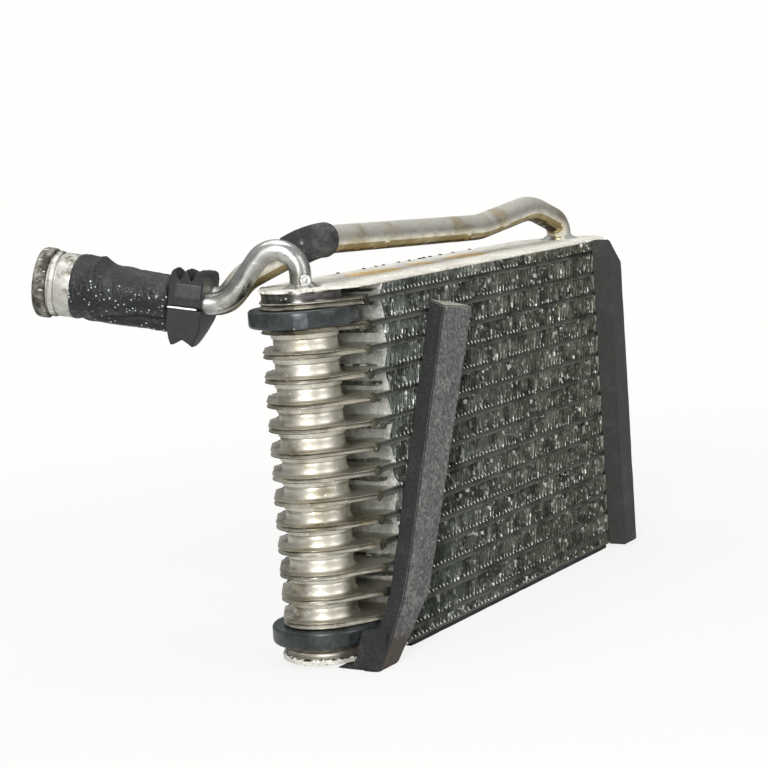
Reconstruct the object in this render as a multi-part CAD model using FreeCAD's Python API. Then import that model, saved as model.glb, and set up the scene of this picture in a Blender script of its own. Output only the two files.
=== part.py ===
import FreeCAD, Part
import math
import os
from FreeCAD import Vector

# Used evaporator core from a vehicle air conditioner, stacked plate type, in millimetres.
# Fifteen flat tubes lie one above another with folded fins between them. Both ends of every
# tube are drawn into round cups, and the cups stack into a tank column at each end. A side
# plate closes the stack above and below. The inlet pipe rises from the left tank in a
# gooseneck, the outlet pipe runs back over the core from the right tank, and both leave
# side by side through a split rubber grommet and a taped wrap into one round connector.
#
# Frame: origin on the floor under the middle of the core, +X along the tubes towards the
# outlet tank, +Y to the side that the pipes leave on, +Z up.

os.makedirs("parts", exist_ok=True)

# Core block
fin_length = 265.2
core_depth = 67.0
tube_count = 15
tube_height = 3.0
fin_height = 10.4
low_fin_height = 4.7
high_fin_height = 5.8
fin_waves = 46
fin_sheet = 0.3
fin_recess = 0.5
fin_clearance = 0.05

# Tanks
tank_offset = 30.3
flange_radius = 23.7
neck_foot_inset = 3.1
shoulder_inset = 4.4
neck_inset = 6.1
shoulder_height = 3.1
end_cup_inset = 1.4
plate_taper = 31.8

# Side plates and base pad
bottom_plate_thickness = 1.5
top_plate_thickness = 1.2
rim_width = 1.4
rim_height = 1.6
end_overhang = 1.5
pad_thickness = 2.2
pad_inset = 4.0

# Rubber rings round the left tank
ring_stand_out = 6.4
ring_clearance = 0.25
ring_bevel = 3.0

# Pipes
inlet_od = 12.0
inlet_wall = 1.2
outlet_od = 16.0
outlet_wall = 1.5
pipe_gap = 3.0
pipe_heading = 22.0
pipe_rise = 10.0
run_drop = 6.1
tilt_beyond_edge = 15.7
gooseneck_rise = 21.0
gooseneck_tuck = 4.2
gooseneck_fall = 51.4
gooseneck_exit_radius = 20.0
foot_inset = 3.0
foot_side = 3.0
braze_height = 2.4
braze_width = 3.6
hole_clearance = 0.1

# Outlet pipe over the core: places back from its foot, heights above the top plate, bend radii
outlet_foot_radius = 12.0
outlet_foot_rise = 11.0
hump_back = 40.3
hump_rise = 24.4
hump_radius = 60.0
dip_back = 111.9
dip_rise = 16.4
dip_radius = 80.0
corner_rise = 23.6
corner_back = 3.3
corner_side = 24.3
corner_radius = 20.0
edge_inset = 1.5
edge_dip = 1.8
edge_radius = 24.0
descent_beyond_edge = 10.5
descent_radius = 12.0

# Foam sleeve on the outlet pipe's corner
sleeve_wall = 1.85
sleeve_clearance = 0.15
sleeve_run = 12.5
sleeve_drop = 17.5

# Grommet, wrap and connector, along the tilted pipe axis from the point where it tilts
grommet_start = 2.0
grommet_length = 19.5
grommet_wall = 9.5
grommet_ridge = 3.8
grommet_ridge_count = 3
grommet_side = 2.6
grommet_slit = 1.6
grommet_sag = 3.0
fit_clearance = 0.15
seat_gap = 0.4
wrap_length = 53.6
wrap_skin = 3.2
wrap_growth = 6.0
fold_radius = 7.0
fold_drop = 14.2
fold_lift = 1.7
connector_length = 22.6
connector_wall = 2.3
collar_step = 1.8
collar_width = 7.2
groove_depth = 1.0
groove_width = 1.0
bead_height = 0.6
bead_width = 3.4
port_socket = 7.0
port_clearance = 0.4

# Loose foam strip, leaning across the front face with its foot on the floor
strip_gap = 0.1
strip_thickness = 10.3
strip_width = 32.5
strip_lean = 23.0
strip_inset = 47.6
strip_drop = 19.0
strip_top_slant = 4.2
strip_bend_level = 40.6
strip_bend_width = 26.0
strip_bow = 2.4
strip_foot_reach = 35.2
strip_foot_width = 21.4
heel_inset = 1.0
heel_width = 11.0
heel_rise = 22.0
heel_depth = 9.0
tongue_length = 10.5
tongue_thickness = 1.9

# Foam strip stuck to the front face at the outlet end
corner_strip_width = 18.5
corner_strip_thickness = 12.5
corner_strip_top_cut = 16.0
corner_strip_foot_cut = 7.0

# Levels and places worked out from the sizes above
bottom_plate_bottom = pad_thickness
bottom_plate_top = bottom_plate_bottom + bottom_plate_thickness
first_tube_bottom = bottom_plate_top + low_fin_height
tube_pitch = tube_height + fin_height
tube_bottoms = [first_tube_bottom + k * tube_pitch for k in range(tube_count)]
last_tube_top = tube_bottoms[-1] + tube_height
top_plate_bottom = last_tube_top + high_fin_height
top_plate_top = top_plate_bottom + top_plate_thickness
half_length = fin_length / 2
half_depth = core_depth / 2
tank_x = half_length + tank_offset
neck_foot_radius = flange_radius - neck_foot_inset
shoulder_radius = flange_radius - shoulder_inset
neck_radius = flange_radius - neck_inset
pipe_spacing = (inlet_od + outlet_od) / 2 + pipe_gap
run_level = top_plate_top - run_drop
rear_edge = half_depth / math.cos(math.radians(pipe_heading))
tilt_start = rear_edge + tilt_beyond_edge
inlet_foot = (-tank_x, 0)
outlet_foot = (tank_x - foot_inset, foot_side)


def save(name, shape):
    """Write one piece, checked to be a valid closed solid or group of solids."""
    if not shape.isValid():
        raise ValueError(name + " is not valid")
    if not shape.Solids:
        raise ValueError(name + " has no solid")
    shape.exportStep(f"parts/{name}.step")


def one_solid(shape):
    """Return the single solid of a boolean result, with its split faces joined."""
    return shape.removeSplitter().Solids[0]


def cylinder(radius, height, x, y, z):
    return Part.makeCylinder(radius, height, Vector(x, y, z))


def box(x0, x1, y0, y1, z0, z1):
    return Part.makeBox(x1 - x0, y1 - y0, z1 - z0, Vector(x0, y0, z0))


def revolved(profile, centre, axis=Vector(0, 0, 1)):
    """Turn a closed profile of (radius, height) points about an axis through centre."""
    points = [Vector(r, 0, z) for r, z in profile]
    face = Part.Face(Part.makePolygon(points + points[:1]))
    solid = face.revolve(Vector(0, 0, 0), Vector(0, 0, 1), 360)
    solid.Placement = FreeCAD.Placement(centre, FreeCAD.Rotation(Vector(0, 0, 1), axis))
    return solid


def plate_outline(radius, z):
    """Closed outline of a plate: full depth between two round tank ends, tapered into them.

    The taper leaves each round end as its tangent and runs out to the full depth.
    """
    taper = math.radians(plate_taper)
    touch_x = tank_x + radius * math.sin(taper)
    touch_y = radius * math.cos(taper)
    wide_y = half_depth
    wide_x = touch_x - (wide_y - touch_y) / math.tan(taper)
    tip_x = tank_x + radius

    def at(x, y):
        return Vector(x, y, z)

    edges = [
        Part.LineSegment(at(-wide_x, -wide_y), at(wide_x, -wide_y)),
        Part.LineSegment(at(wide_x, -wide_y), at(touch_x, -touch_y)),
        Part.Arc(at(touch_x, -touch_y), at(tip_x, 0), at(touch_x, touch_y)),
        Part.LineSegment(at(touch_x, touch_y), at(wide_x, wide_y)),
        Part.LineSegment(at(wide_x, wide_y), at(-wide_x, wide_y)),
        Part.LineSegment(at(-wide_x, wide_y), at(-touch_x, touch_y)),
        Part.Arc(at(-touch_x, touch_y), at(-tip_x, 0), at(-touch_x, -touch_y)),
        Part.LineSegment(at(-touch_x, -touch_y), at(-wide_x, -wide_y)),
    ]
    return Part.Wire([edge.toShape() for edge in edges])


def plate(radius, z, thickness):
    return Part.Face(plate_outline(radius, z)).extrude(Vector(0, 0, thickness))


def tube(index):
    """One flat tube with its drawn cups: a tapering neck above and a wider shoulder below.

    The neck reaches up to the shoulder of the next tube, and the last tube ends in wide cups.
    """
    bottom = tube_bottoms[index]
    top = bottom + tube_height
    solid = plate(flange_radius, bottom, tube_height)
    neck_height = fin_height - shoulder_height
    reach = shoulder_height if index else low_fin_height
    for x in (-tank_x, tank_x):
        if index == tube_count - 1:
            upper = cylinder(flange_radius - end_cup_inset, high_fin_height, x, 0, top)
        else:
            upper = Part.makeCone(neck_foot_radius, neck_radius, neck_height, Vector(x, 0, top))
        lower = cylinder(shoulder_radius, reach, x, 0, bottom - reach)
        solid = solid.fuse([upper, lower])
    return one_solid(solid)


def fin_row(bottom, height):
    """One strip of fin stock, folded into a zigzag that touches the tubes above and below."""
    low = bottom + fin_clearance
    high = bottom + height - fin_clearance
    leg = fin_length / (2 * fin_waves)
    slope_height = high - low
    lean = math.atan2(slope_height, leg)
    rise = fin_sheet / math.cos(lean)
    lower = []
    upper = []
    for k in range(2 * fin_waves + 1):
        x = -half_length + k * leg
        z = low if k % 2 == 0 else high - rise
        lower.append(Vector(x, -half_depth + fin_recess, z))
        upper.append(Vector(x, -half_depth + fin_recess, z + rise))
    outline = lower + upper[::-1]
    face = Part.Face(Part.makePolygon(outline + outline[:1]))
    return face.extrude(Vector(0, core_depth - 2 * fin_recess, 0))


def bottom_side_plate():
    """Flat sheet under the stack, with a low rim round each tank end."""
    end_radius = flange_radius + end_overhang
    sheet = plate(end_radius, bottom_plate_bottom, bottom_plate_thickness)
    for side in (-1, 1):
        rim = cylinder(end_radius, rim_height, side * tank_x, 0, bottom_plate_top)
        hollow = cylinder(end_radius - rim_width, rim_height, side * tank_x, 0, bottom_plate_top)
        inboard = box(-tank_x, tank_x, -core_depth, core_depth, bottom_plate_top, first_tube_bottom)
        sheet = sheet.fuse(rim.cut(hollow).cut(inboard))
    return one_solid(sheet)


def top_side_plate():
    """Flat sheet over the stack, with the two holes that the pipes enter by."""
    sheet = plate(flange_radius, top_plate_bottom, top_plate_thickness)
    for (x, y), od in ((inlet_foot, inlet_od), (outlet_foot, outlet_od)):
        hole = cylinder(od / 2 + hole_clearance, top_plate_thickness, x, y, top_plate_bottom)
        sheet = sheet.cut(hole)
    return one_solid(sheet)


def tank_ring(index):
    """Rubber ring that fills the gap above tube index and stands out past the flanges."""
    low = tube_bottoms[index] + tube_height + ring_clearance
    width = fin_height - 2 * ring_clearance
    inner = neck_foot_radius + ring_clearance
    outer = flange_radius + ring_stand_out
    profile = [
        (inner, 0),
        (outer - ring_bevel, 0),
        (outer, ring_bevel),
        (outer, width - ring_bevel),
        (outer - ring_bevel, width),
        (inner, width),
    ]
    return revolved(profile, Vector(-tank_x, 0, low))


# Directions of the pipe run: ahead along it, and across it towards the outlet pipe
heading = math.radians(pipe_heading)
rise_angle = math.radians(pipe_rise)
ahead = Vector(-math.sin(heading), math.cos(heading), 0)
across = Vector(math.cos(heading), math.sin(heading), 0)
tilted = ahead * math.cos(rise_angle) + Vector(0, 0, math.sin(rise_angle))


def run_point(distance, side, z):
    """Point of the pipe run: distance ahead of the left tank axis, side across, at level z."""
    return Vector(-tank_x, 0, z) + ahead * distance + across * side


def run_height(distance):
    """Level of the tilted pipe axes at a distance ahead of the left tank axis."""
    return run_level + (distance - tilt_start) * math.tan(rise_angle)


def tilted_point(distance, side):
    """Point of the tilted stretch, measured along it from where it starts."""
    return run_point(tilt_start, side, run_level) + tilted * distance


def route(points, radii):
    """Edges of straight runs joined by tangent arcs, one radius for each inner point."""
    edges = []
    start = points[0]
    for before, corner, after, radius in zip(points, points[1:], points[2:], radii):
        back = (before - corner).normalize()
        on = (after - corner).normalize()
        half = back.getAngle(on) / 2
        reach = radius / math.tan(half)
        first = corner + back * reach
        last = corner + on * reach
        centre = corner + (back + on).normalize() * (radius / math.sin(half))
        middle = centre + (corner - centre).normalize() * radius
        if (first - start).Length > 0.01:
            edges.append(Part.LineSegment(start, first).toShape())
        edges.append(Part.Arc(first, middle, last).toShape())
        start = last
    edges.append(Part.LineSegment(start, points[-1]).toShape())
    return edges


def bar(edges, radius):
    """Round bar along a route: straight lengths and bends, joined end to end."""
    lengths = []
    for edge in edges:
        start = edge.valueAt(edge.FirstParameter)
        direction = edge.tangentAt(edge.FirstParameter)
        section = Part.Face(Part.Wire(Part.makeCircle(radius, start, direction)))
        if isinstance(edge.Curve, Part.Circle):
            turn = math.degrees(edge.Length / edge.Curve.Radius)
            lengths.append(section.revolve(edge.Curve.Center, edge.Curve.Axis, turn))
        else:
            lengths.append(section.extrude(direction * edge.Length))
    return lengths[0].fuse(lengths[1:])


def pipe(edges, outer, inner):
    return one_solid(bar(edges, outer).cut(bar(edges, inner)))


# Along the tilted stretch: grommet, then wrap, then connector
grommet_end = grommet_start + grommet_length
wrap_start = grommet_end + seat_gap
wrap_end = wrap_start + wrap_length
connector_start = wrap_end + seat_gap
connector_end = connector_start + connector_length
pipe_end = connector_end - port_socket
block_side = (pipe_spacing + (outlet_od - inlet_od) / 2) / 2


def inlet_route():
    """Gooseneck: up from the left tank, over, down behind the core and level, then tilted."""
    top = top_plate_top + gooseneck_rise
    fall = math.radians(gooseneck_fall)
    over = flange_radius - gooseneck_tuck
    loop_radius = over / (1 + math.tan(fall / 2))
    down = over + (top - run_height(over)) / (math.tan(fall) + math.tan(rise_angle))
    points = [
        run_point(0, 0, top_plate_bottom),
        run_point(0, 0, top),
        run_point(over, 0, top),
        run_point(down, 0, run_height(down)),
        tilted_point(pipe_end, 0),
    ]
    return route(points, [loop_radius, loop_radius, gooseneck_exit_radius])


def outlet_points():
    """Up from the right tank, over a hump, along the core, round and down to the run."""
    foot = Vector(outlet_foot[0], outlet_foot[1], top_plate_bottom)
    corner = run_point(-corner_back, corner_side, top_plate_top + corner_rise)
    descent_end = rear_edge + descent_beyond_edge

    def over_core(x, rise):
        share = (foot.x - x) / (foot.x - corner.x)
        return Vector(x, foot.y + share * (corner.y - foot.y), top_plate_top + rise)

    return [
        foot,
        over_core(foot.x, outlet_foot_rise),
        over_core(foot.x - hump_back, hump_rise),
        over_core(foot.x - dip_back, dip_rise),
        corner,
        run_point(rear_edge - edge_inset, pipe_spacing, top_plate_top + outlet_od / 2 - edge_dip),
        run_point(descent_end, pipe_spacing, run_height(descent_end)),
        tilted_point(pipe_end, pipe_spacing),
    ]


def foam_sleeve():
    """Thin foam tube slipped over the outlet pipe, round its corner."""
    points = outlet_points()
    corner = points[4]
    before = corner + (points[3] - corner).normalize() * sleeve_run
    after = corner + (points[5] - corner).normalize() * sleeve_drop
    bore = outlet_od / 2 + sleeve_clearance
    return pipe(route([before, corner, after], [corner_radius]), bore + sleeve_wall, bore)


def braze_fillet(foot, od):
    """Ring of braze metal round a pipe where it enters the top plate."""
    inner = od / 2 + hole_clearance
    profile = [(inner, 0), (inner + braze_width, 0), (inner, braze_height)]
    return revolved(profile, Vector(foot[0], foot[1], top_plate_top))


def block_frame(distance):
    """Placement whose X runs across the pipes, Y along the tilted stretch and Z away from both."""
    up = across.cross(tilted)
    turn = FreeCAD.Rotation(across, tilted, up, "ZXY")
    return FreeCAD.Placement(tilted_point(distance, block_side), turn)


def pipe_holes(start, length, clearance):
    """Bars that clear the two pipes over a stretch of the tilted run."""
    bars = []
    for side, od in ((0, inlet_od), (pipe_spacing, outlet_od)):
        bar = Part.makeCylinder(od / 2 + clearance, length, tilted_point(start, side), tilted)
        bars.append(bar)
    return bars


def grommet_half(sign):
    """Upper or lower half of the split grommet, with pointed sealing ridges across the pipes.

    The block hangs lower than the pipes, so its slit runs below their axes.
    """
    half_width = pipe_spacing / 2 + outlet_od / 2 + grommet_side
    low = outlet_od / 2 + grommet_wall
    high = low + grommet_ridge
    pitch = grommet_length / grommet_ridge_count
    profile = [(0, grommet_slit / 2), (0, low)]
    for k in range(grommet_ridge_count):
        profile += [((k + 0.5) * pitch, high), ((k + 1) * pitch, low)]
    profile.append((grommet_length, grommet_slit / 2))
    points = [Vector(-half_width, y, sign * z - grommet_sag) for y, z in profile]
    face = Part.Face(Part.makePolygon(points + points[:1]))
    solid = face.extrude(Vector(2 * half_width, 0, 0))
    solid.Placement = block_frame(grommet_start)
    solid = solid.cut(pipe_holes(grommet_start - 1, grommet_length + 2, fit_clearance))
    return one_solid(solid)


def obround(half_straight, radius, y):
    """Closed wire of two half circles and two straight sides, across the run at distance y."""
    left = Vector(-half_straight, y, 0)
    right = Vector(half_straight, y, 0)
    up = Vector(0, 0, radius)
    out = Vector(radius, 0, 0)
    edges = [
        Part.LineSegment(left + up, right + up),
        Part.Arc(right + up, right + out, right - up),
        Part.LineSegment(right - up, left - up),
        Part.Arc(left - up, left - out, left + up),
    ]
    return Part.Wire([edge.toShape() for edge in edges])


def tape_wrap():
    """Black tape wound round both pipes, swelling towards the connector, with a hanging fold."""
    near = outlet_od / 2 + wrap_skin
    far = near + wrap_growth
    straight = (pipe_spacing - wrap_skin) / 2
    body = Part.makeLoft([obround(straight, near, 0), obround(straight, far, wrap_length)], True, True)
    fold_path = Vector(0, wrap_length, fold_lift)
    fold = Part.makeCylinder(fold_radius, fold_path.Length, Vector(0, 0, -fold_drop), fold_path)
    solid = body.fuse(fold)
    solid.Placement = block_frame(wrap_start)
    solid = solid.cut(pipe_holes(wrap_start - 1, wrap_length + 2, fit_clearance))
    return one_solid(solid)


def connector():
    """Round aluminium connector: body, grooves either side of a bead, collar and two ports."""
    radius = (pipe_spacing + (inlet_od + outlet_od) / 2) / 2 + connector_wall
    groove = radius - groove_depth
    bead = radius + bead_height
    collar = radius + collar_step
    collar_start = connector_length - collar_width
    bead_end = collar_start - groove_width
    bead_start = bead_end - bead_width
    body_end = bead_start - groove_width
    profile = [
        (0, 0),
        (radius, 0),
        (radius, body_end),
        (groove, body_end),
        (groove, bead_start),
        (bead, bead_start),
        (bead, bead_end),
        (groove, bead_end),
        (groove, collar_start),
        (collar, collar_start),
        (collar, connector_length),
        (0, connector_length),
    ]
    solid = revolved(profile, tilted_point(connector_start, block_side), tilted)
    solid = solid.cut(pipe_holes(connector_start - 1, connector_length - port_socket + 1, fit_clearance))
    solid = solid.cut(pipe_holes(pipe_end, port_socket + 1, port_clearance))
    return one_solid(solid)


def loose_strip():
    """Foam strip that has come away and leans across the front face, its foot on the floor."""
    lean = math.radians(strip_lean)
    wide = Vector(math.cos(lean), 0, -math.sin(lean))
    y = -half_depth - strip_gap - strip_thickness
    top_left = Vector(-half_length + strip_inset, y, top_plate_top - strip_drop)
    top_right = top_left + Vector(strip_width, 0, -strip_top_slant)
    fall = top_left.z - strip_bend_level
    left_bend = top_left - Vector(fall * math.tan(lean), 0, fall)
    right_bend = left_bend + wide * strip_bend_width
    left_foot = Vector(left_bend.x - strip_foot_reach, y, 0)
    right_foot = left_foot + Vector(strip_foot_width, 0, 0)
    left_middle = (left_bend + left_foot) * 0.5 + wide * strip_bow
    edges = [
        Part.LineSegment(top_left, top_right),
        Part.LineSegment(top_right, right_bend),
        Part.LineSegment(right_bend, right_foot),
        Part.LineSegment(right_foot, left_foot),
        Part.Arc(left_foot, left_middle, left_bend),
        Part.LineSegment(left_bend, top_left),
    ]
    outline = Part.Wire([edge.toShape() for edge in edges])
    strip = Part.Face(outline).extrude(Vector(0, strip_thickness, 0))
    return one_solid(strip.fuse(strip_heel(left_foot.x + heel_inset, y)))


def strip_heel(x, y):
    """Heel of the loose strip: its foot folded back, with a thin tongue under the left tank."""
    back = y + strip_thickness
    profile = [
        (y, 0),
        (back + heel_depth + tongue_length, 0),
        (back + heel_depth, tongue_thickness),
        (back + heel_depth / 2, heel_rise / 3),
        (back, heel_rise),
        (y, heel_rise),
    ]
    points = [Vector(x, py, pz) for py, pz in profile]
    face = Part.Face(Part.makePolygon(points + points[:1]))
    return face.extrude(Vector(heel_width, 0, 0))


def corner_strip():
    """Foam strip stuck to the front face at the outlet end, full height."""
    back = -half_depth - strip_gap
    front = back - corner_strip_thickness
    left = half_length
    right = half_length + corner_strip_width
    outline = [
        Vector(left, front, pad_thickness),
        Vector(right, front, pad_thickness),
        Vector(right, front, top_plate_top - corner_strip_top_cut),
        Vector(right - corner_strip_top_cut, front, top_plate_top),
        Vector(left, front, top_plate_top),
    ]
    face = Part.Face(Part.makePolygon(outline + outline[:1]))
    strip = face.extrude(Vector(0, corner_strip_thickness, 0))
    foot = [
        Vector(left, front, pad_thickness),
        Vector(left, front + corner_strip_foot_cut, pad_thickness),
        Vector(left, front, pad_thickness + corner_strip_foot_cut),
    ]
    wedge = Part.Face(Part.makePolygon(foot + foot[:1])).extrude(Vector(corner_strip_width, 0, 0))
    return one_solid(strip.cut(wedge))


def base_pad():
    """Thin foam pad glued under the bottom side plate."""
    return box(-half_length + pad_inset, half_length, -half_depth, half_depth, 0, pad_thickness)


for index in range(tube_count):
    save(f"tube_plate_{index + 1:02d}", tube(index))

gaps = [(bottom_plate_top, low_fin_height)]
gaps += [(bottom + tube_height, fin_height) for bottom in tube_bottoms[:-1]]
gaps += [(last_tube_top, high_fin_height)]
for index, (bottom, height) in enumerate(gaps):
    save(f"fin_row_{index + 1:02d}", fin_row(bottom, height))

save("bottom_side_plate", bottom_side_plate())
save("top_side_plate", top_side_plate())
save("lower_tank_ring", tank_ring(0))
save("upper_tank_ring", tank_ring(tube_count - 2))

outlet_radii = [
    outlet_foot_radius,
    hump_radius,
    dip_radius,
    corner_radius,
    edge_radius,
    descent_radius,
]
outlet_route = route(outlet_points(), outlet_radii)
save("inlet_pipe", pipe(inlet_route(), inlet_od / 2, inlet_od / 2 - inlet_wall))
save("outlet_pipe", pipe(outlet_route, outlet_od / 2, outlet_od / 2 - outlet_wall))
save("inlet_braze_ring", braze_fillet(inlet_foot, inlet_od))
save("outlet_braze_ring", braze_fillet(outlet_foot, outlet_od))
save("foam_sleeve", foam_sleeve())
save("grommet_upper_half", grommet_half(1))
save("grommet_lower_half", grommet_half(-1))
save("tape_wrap", tape_wrap())
save("pipe_connector", connector())
save("loose_foam_strip", loose_strip())
save("corner_foam_strip", corner_strip())
save("base_foam_pad", base_pad())
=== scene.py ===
# %% [markdown]
# A used evaporator core from a vehicle air conditioner, dressed for a studio picture.
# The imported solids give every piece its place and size. This lesson turns each of them into
# a worn, dirty, believable surface: drawn aluminium cups, folded fins, bent pipes, rubber,
# tape and foam. Lengths are written in millimetres and multiplied by MM, because the scene
# itself is in metres.

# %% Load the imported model
import math

import bmesh
import bpy
from mathutils import Matrix, Vector, noise


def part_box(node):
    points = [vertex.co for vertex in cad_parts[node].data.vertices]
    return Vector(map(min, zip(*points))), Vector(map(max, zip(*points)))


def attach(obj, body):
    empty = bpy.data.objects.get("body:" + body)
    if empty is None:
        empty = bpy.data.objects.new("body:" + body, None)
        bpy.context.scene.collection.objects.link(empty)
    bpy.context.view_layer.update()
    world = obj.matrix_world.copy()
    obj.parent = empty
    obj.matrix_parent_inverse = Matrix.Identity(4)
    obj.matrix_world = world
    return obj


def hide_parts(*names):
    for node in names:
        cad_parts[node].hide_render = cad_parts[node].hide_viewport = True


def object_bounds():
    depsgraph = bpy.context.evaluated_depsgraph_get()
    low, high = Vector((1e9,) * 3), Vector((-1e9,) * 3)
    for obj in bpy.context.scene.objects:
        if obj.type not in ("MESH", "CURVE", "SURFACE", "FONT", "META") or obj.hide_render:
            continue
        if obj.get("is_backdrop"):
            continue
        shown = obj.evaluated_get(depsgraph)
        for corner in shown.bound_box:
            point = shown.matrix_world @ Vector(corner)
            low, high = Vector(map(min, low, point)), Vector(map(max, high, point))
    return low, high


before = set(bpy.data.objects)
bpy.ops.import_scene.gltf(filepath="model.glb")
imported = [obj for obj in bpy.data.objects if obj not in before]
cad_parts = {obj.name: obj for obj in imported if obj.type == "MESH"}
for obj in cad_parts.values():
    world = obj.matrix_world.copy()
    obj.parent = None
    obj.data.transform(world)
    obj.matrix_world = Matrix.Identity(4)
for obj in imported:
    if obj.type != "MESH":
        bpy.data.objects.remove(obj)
solid_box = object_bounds()
MM = 0.001
print("CAD nodes:", len(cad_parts))

# %% [markdown]
# The main sizes are read from the nodes' boxes, so the dressed pieces follow the solids. The
# fin rows tell where each flat tube starts and ends, and the rubber rings tell where the tank
# column stands. The side plates are as wide at their ends as the cups' flanges.

# %% Read the main sizes
fin_clearance = 0.05 * MM
row_names = [f"fin_row_{k + 1:02d}" for k in range(16)]
tube_names = [f"tube_plate_{k + 1:02d}" for k in range(15)]
row_boxes = [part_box(name) for name in row_names]
half_length = row_boxes[0][1].x
half_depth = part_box("base_foam_pad")[1].y
ring_low, ring_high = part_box("lower_tank_ring")
tank_x = -(ring_low.x + ring_high.x) / 2
top_low, top_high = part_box("top_side_plate")
bottom_low, bottom_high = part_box("bottom_side_plate")
flange_radius = top_high.x - tank_x
lower_end_radius = bottom_high.x - tank_x
plate_taper = math.radians(31.8)
tube_levels = []
for below, above in zip(row_boxes, row_boxes[1:]):
    tube_levels.append((below[1].z + fin_clearance, above[0].z - fin_clearance))
print("tubes:", len(tube_levels), "tank at", round(tank_x / MM, 1), "mm")

# %% [markdown]
# The camera stands where the photographer stood: low, in front of the left tank, with a long
# lens. It was worked out from the straight edges of the core. The lens is given by the
# focal length in pixels of a 768 pixel wide picture.

# %% Camera
camera_place = Vector((-1062.6, -602.0, 286.7)) * MM
camera_yaw = 0.5518
camera_pitch = 0.1255
camera_roll = -0.0711
picture_width = 768
focal_pixels = 2000
look = Vector((math.cos(camera_pitch) * math.cos(camera_yaw),
               math.cos(camera_pitch) * math.sin(camera_yaw),
               -math.sin(camera_pitch)))
level_right = Vector((math.sin(camera_yaw), -math.cos(camera_yaw), 0))
level_up = level_right.cross(look)
right = level_right * math.cos(camera_roll) + level_up * math.sin(camera_roll)
up = level_up * math.cos(camera_roll) - level_right * math.sin(camera_roll)
camera_data = bpy.data.cameras.new("camera")
camera_data.sensor_width = 36
camera_data.lens = focal_pixels * camera_data.sensor_width / picture_width
camera_data.clip_end = 50
camera = bpy.data.objects.new("camera", camera_data)
bpy.context.collection.objects.link(camera)
camera.matrix_world = Matrix([
    [right.x, up.x, -look.x, camera_place.x],
    [right.y, up.y, -look.y, camera_place.y],
    [right.z, up.z, -look.z, camera_place.z],
    [0, 0, 0, 1],
])
bpy.context.scene.camera = camera
print("lens:", round(camera_data.lens, 2), "mm")

# %% [markdown]
# Every finish below is made of three shared effects. Each effect is a node group with named
# inputs, and gives one mask that changes over the surface. The Principled shader itself stays
# in each material. All effects read object coordinates, so they stick to the piece and need
# no unwrapping.

# %% Helper: place nodes and groups
FLOAT = "NodeSocketFloat"
VECTOR = "NodeSocketVector"


def set_socket(tree, socket, value):
    """Link a socket to another node's output, or give it a plain value."""
    if isinstance(value, bpy.types.NodeSocket):
        tree.links.new(value, socket)
    else:
        socket.default_value = value


def add_node(tree, kind, **sockets):
    """Add a node and set its input sockets by name, with spaces written as underscores."""
    made = tree.nodes.new(kind)
    for name, value in sockets.items():
        set_socket(tree, made.inputs[name.replace("_", " ")], value)
    return made


def object_place(tree):
    """The point on the piece, in metres from the object's origin."""
    return tree.nodes.new("ShaderNodeTexCoord").outputs["Object"]


def new_group(name, inputs):
    """Start a node group with named inputs and one output called Mask."""
    tree = bpy.data.node_groups.new(name, "ShaderNodeTree")
    for label, kind, value in inputs:
        made = tree.interface.new_socket(name=label, in_out="INPUT", socket_type=kind)
        made.default_value = value
    tree.interface.new_socket(name="Mask", in_out="OUTPUT", socket_type=FLOAT)
    entry = tree.nodes.new("NodeGroupInput")
    leave = tree.nodes.new("NodeGroupOutput")
    return tree, entry.outputs, leave.inputs["Mask"], object_place(tree)


# %% Helper: sums inside a node tree
def ramp(tree, value, low, high):
    """Stretch a value so that low becomes 0 and high becomes 1, smoothly."""
    node = add_node(tree, "ShaderNodeMapRange", Value=value, From_Min=low, From_Max=high)
    node.interpolation_type = "SMOOTHSTEP"
    return node.outputs["Result"]


def maths(tree, operation, first, second=0.0, clamped=False):
    """Sum, product or comparison of two values."""
    node = tree.nodes.new("ShaderNodeMath")
    node.operation = operation
    node.use_clamp = clamped
    set_socket(tree, node.inputs[0], first)
    set_socket(tree, node.inputs[1], second)
    return node.outputs[0]


def vector_maths(tree, operation, *values):
    """The same for vectors. A length comes out as Value, all else as Vector."""
    node = tree.nodes.new("ShaderNodeVectorMath")
    node.operation = operation
    for socket, value in zip(node.inputs, values):
        set_socket(tree, socket, value)
    return node.outputs


# %% [markdown]
# Patches are soft blotches, such as oxide or old water marks. The stretch input squeezes the
# pattern along an axis, so the same group also gives drawing lines and drips. A fractal noise
# cut off between two levels is enough, and its edges stay ragged at every size.

# %% Effect: patches
patches, given, mask_out, place = new_group("patches", [
    ("Scale", FLOAT, 50.0), ("Detail", FLOAT, 4.0), ("Low", FLOAT, 0.4), ("High", FLOAT, 0.6),
    ("Stretch", VECTOR, (1, 1, 1)), ("Shift", VECTOR, (0, 0, 0)),
])
scaled = vector_maths(patches, "MULTIPLY_ADD", place, given["Stretch"], given["Shift"])
cloud = add_node(patches, "ShaderNodeTexNoise", Vector=scaled["Vector"], Scale=given["Scale"],
                 Detail=given["Detail"], Roughness=0.6)
patches.links.new(ramp(patches, cloud.outputs["Fac"], given["Low"], given["High"]), mask_out)
print("effect:", patches.name)

# %% [markdown]
# Specks are small sharp spots: grit, pin holes, bright nicks. A Voronoi pattern gives the
# spots, and the random colour of each cell lets only some of them through.

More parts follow.
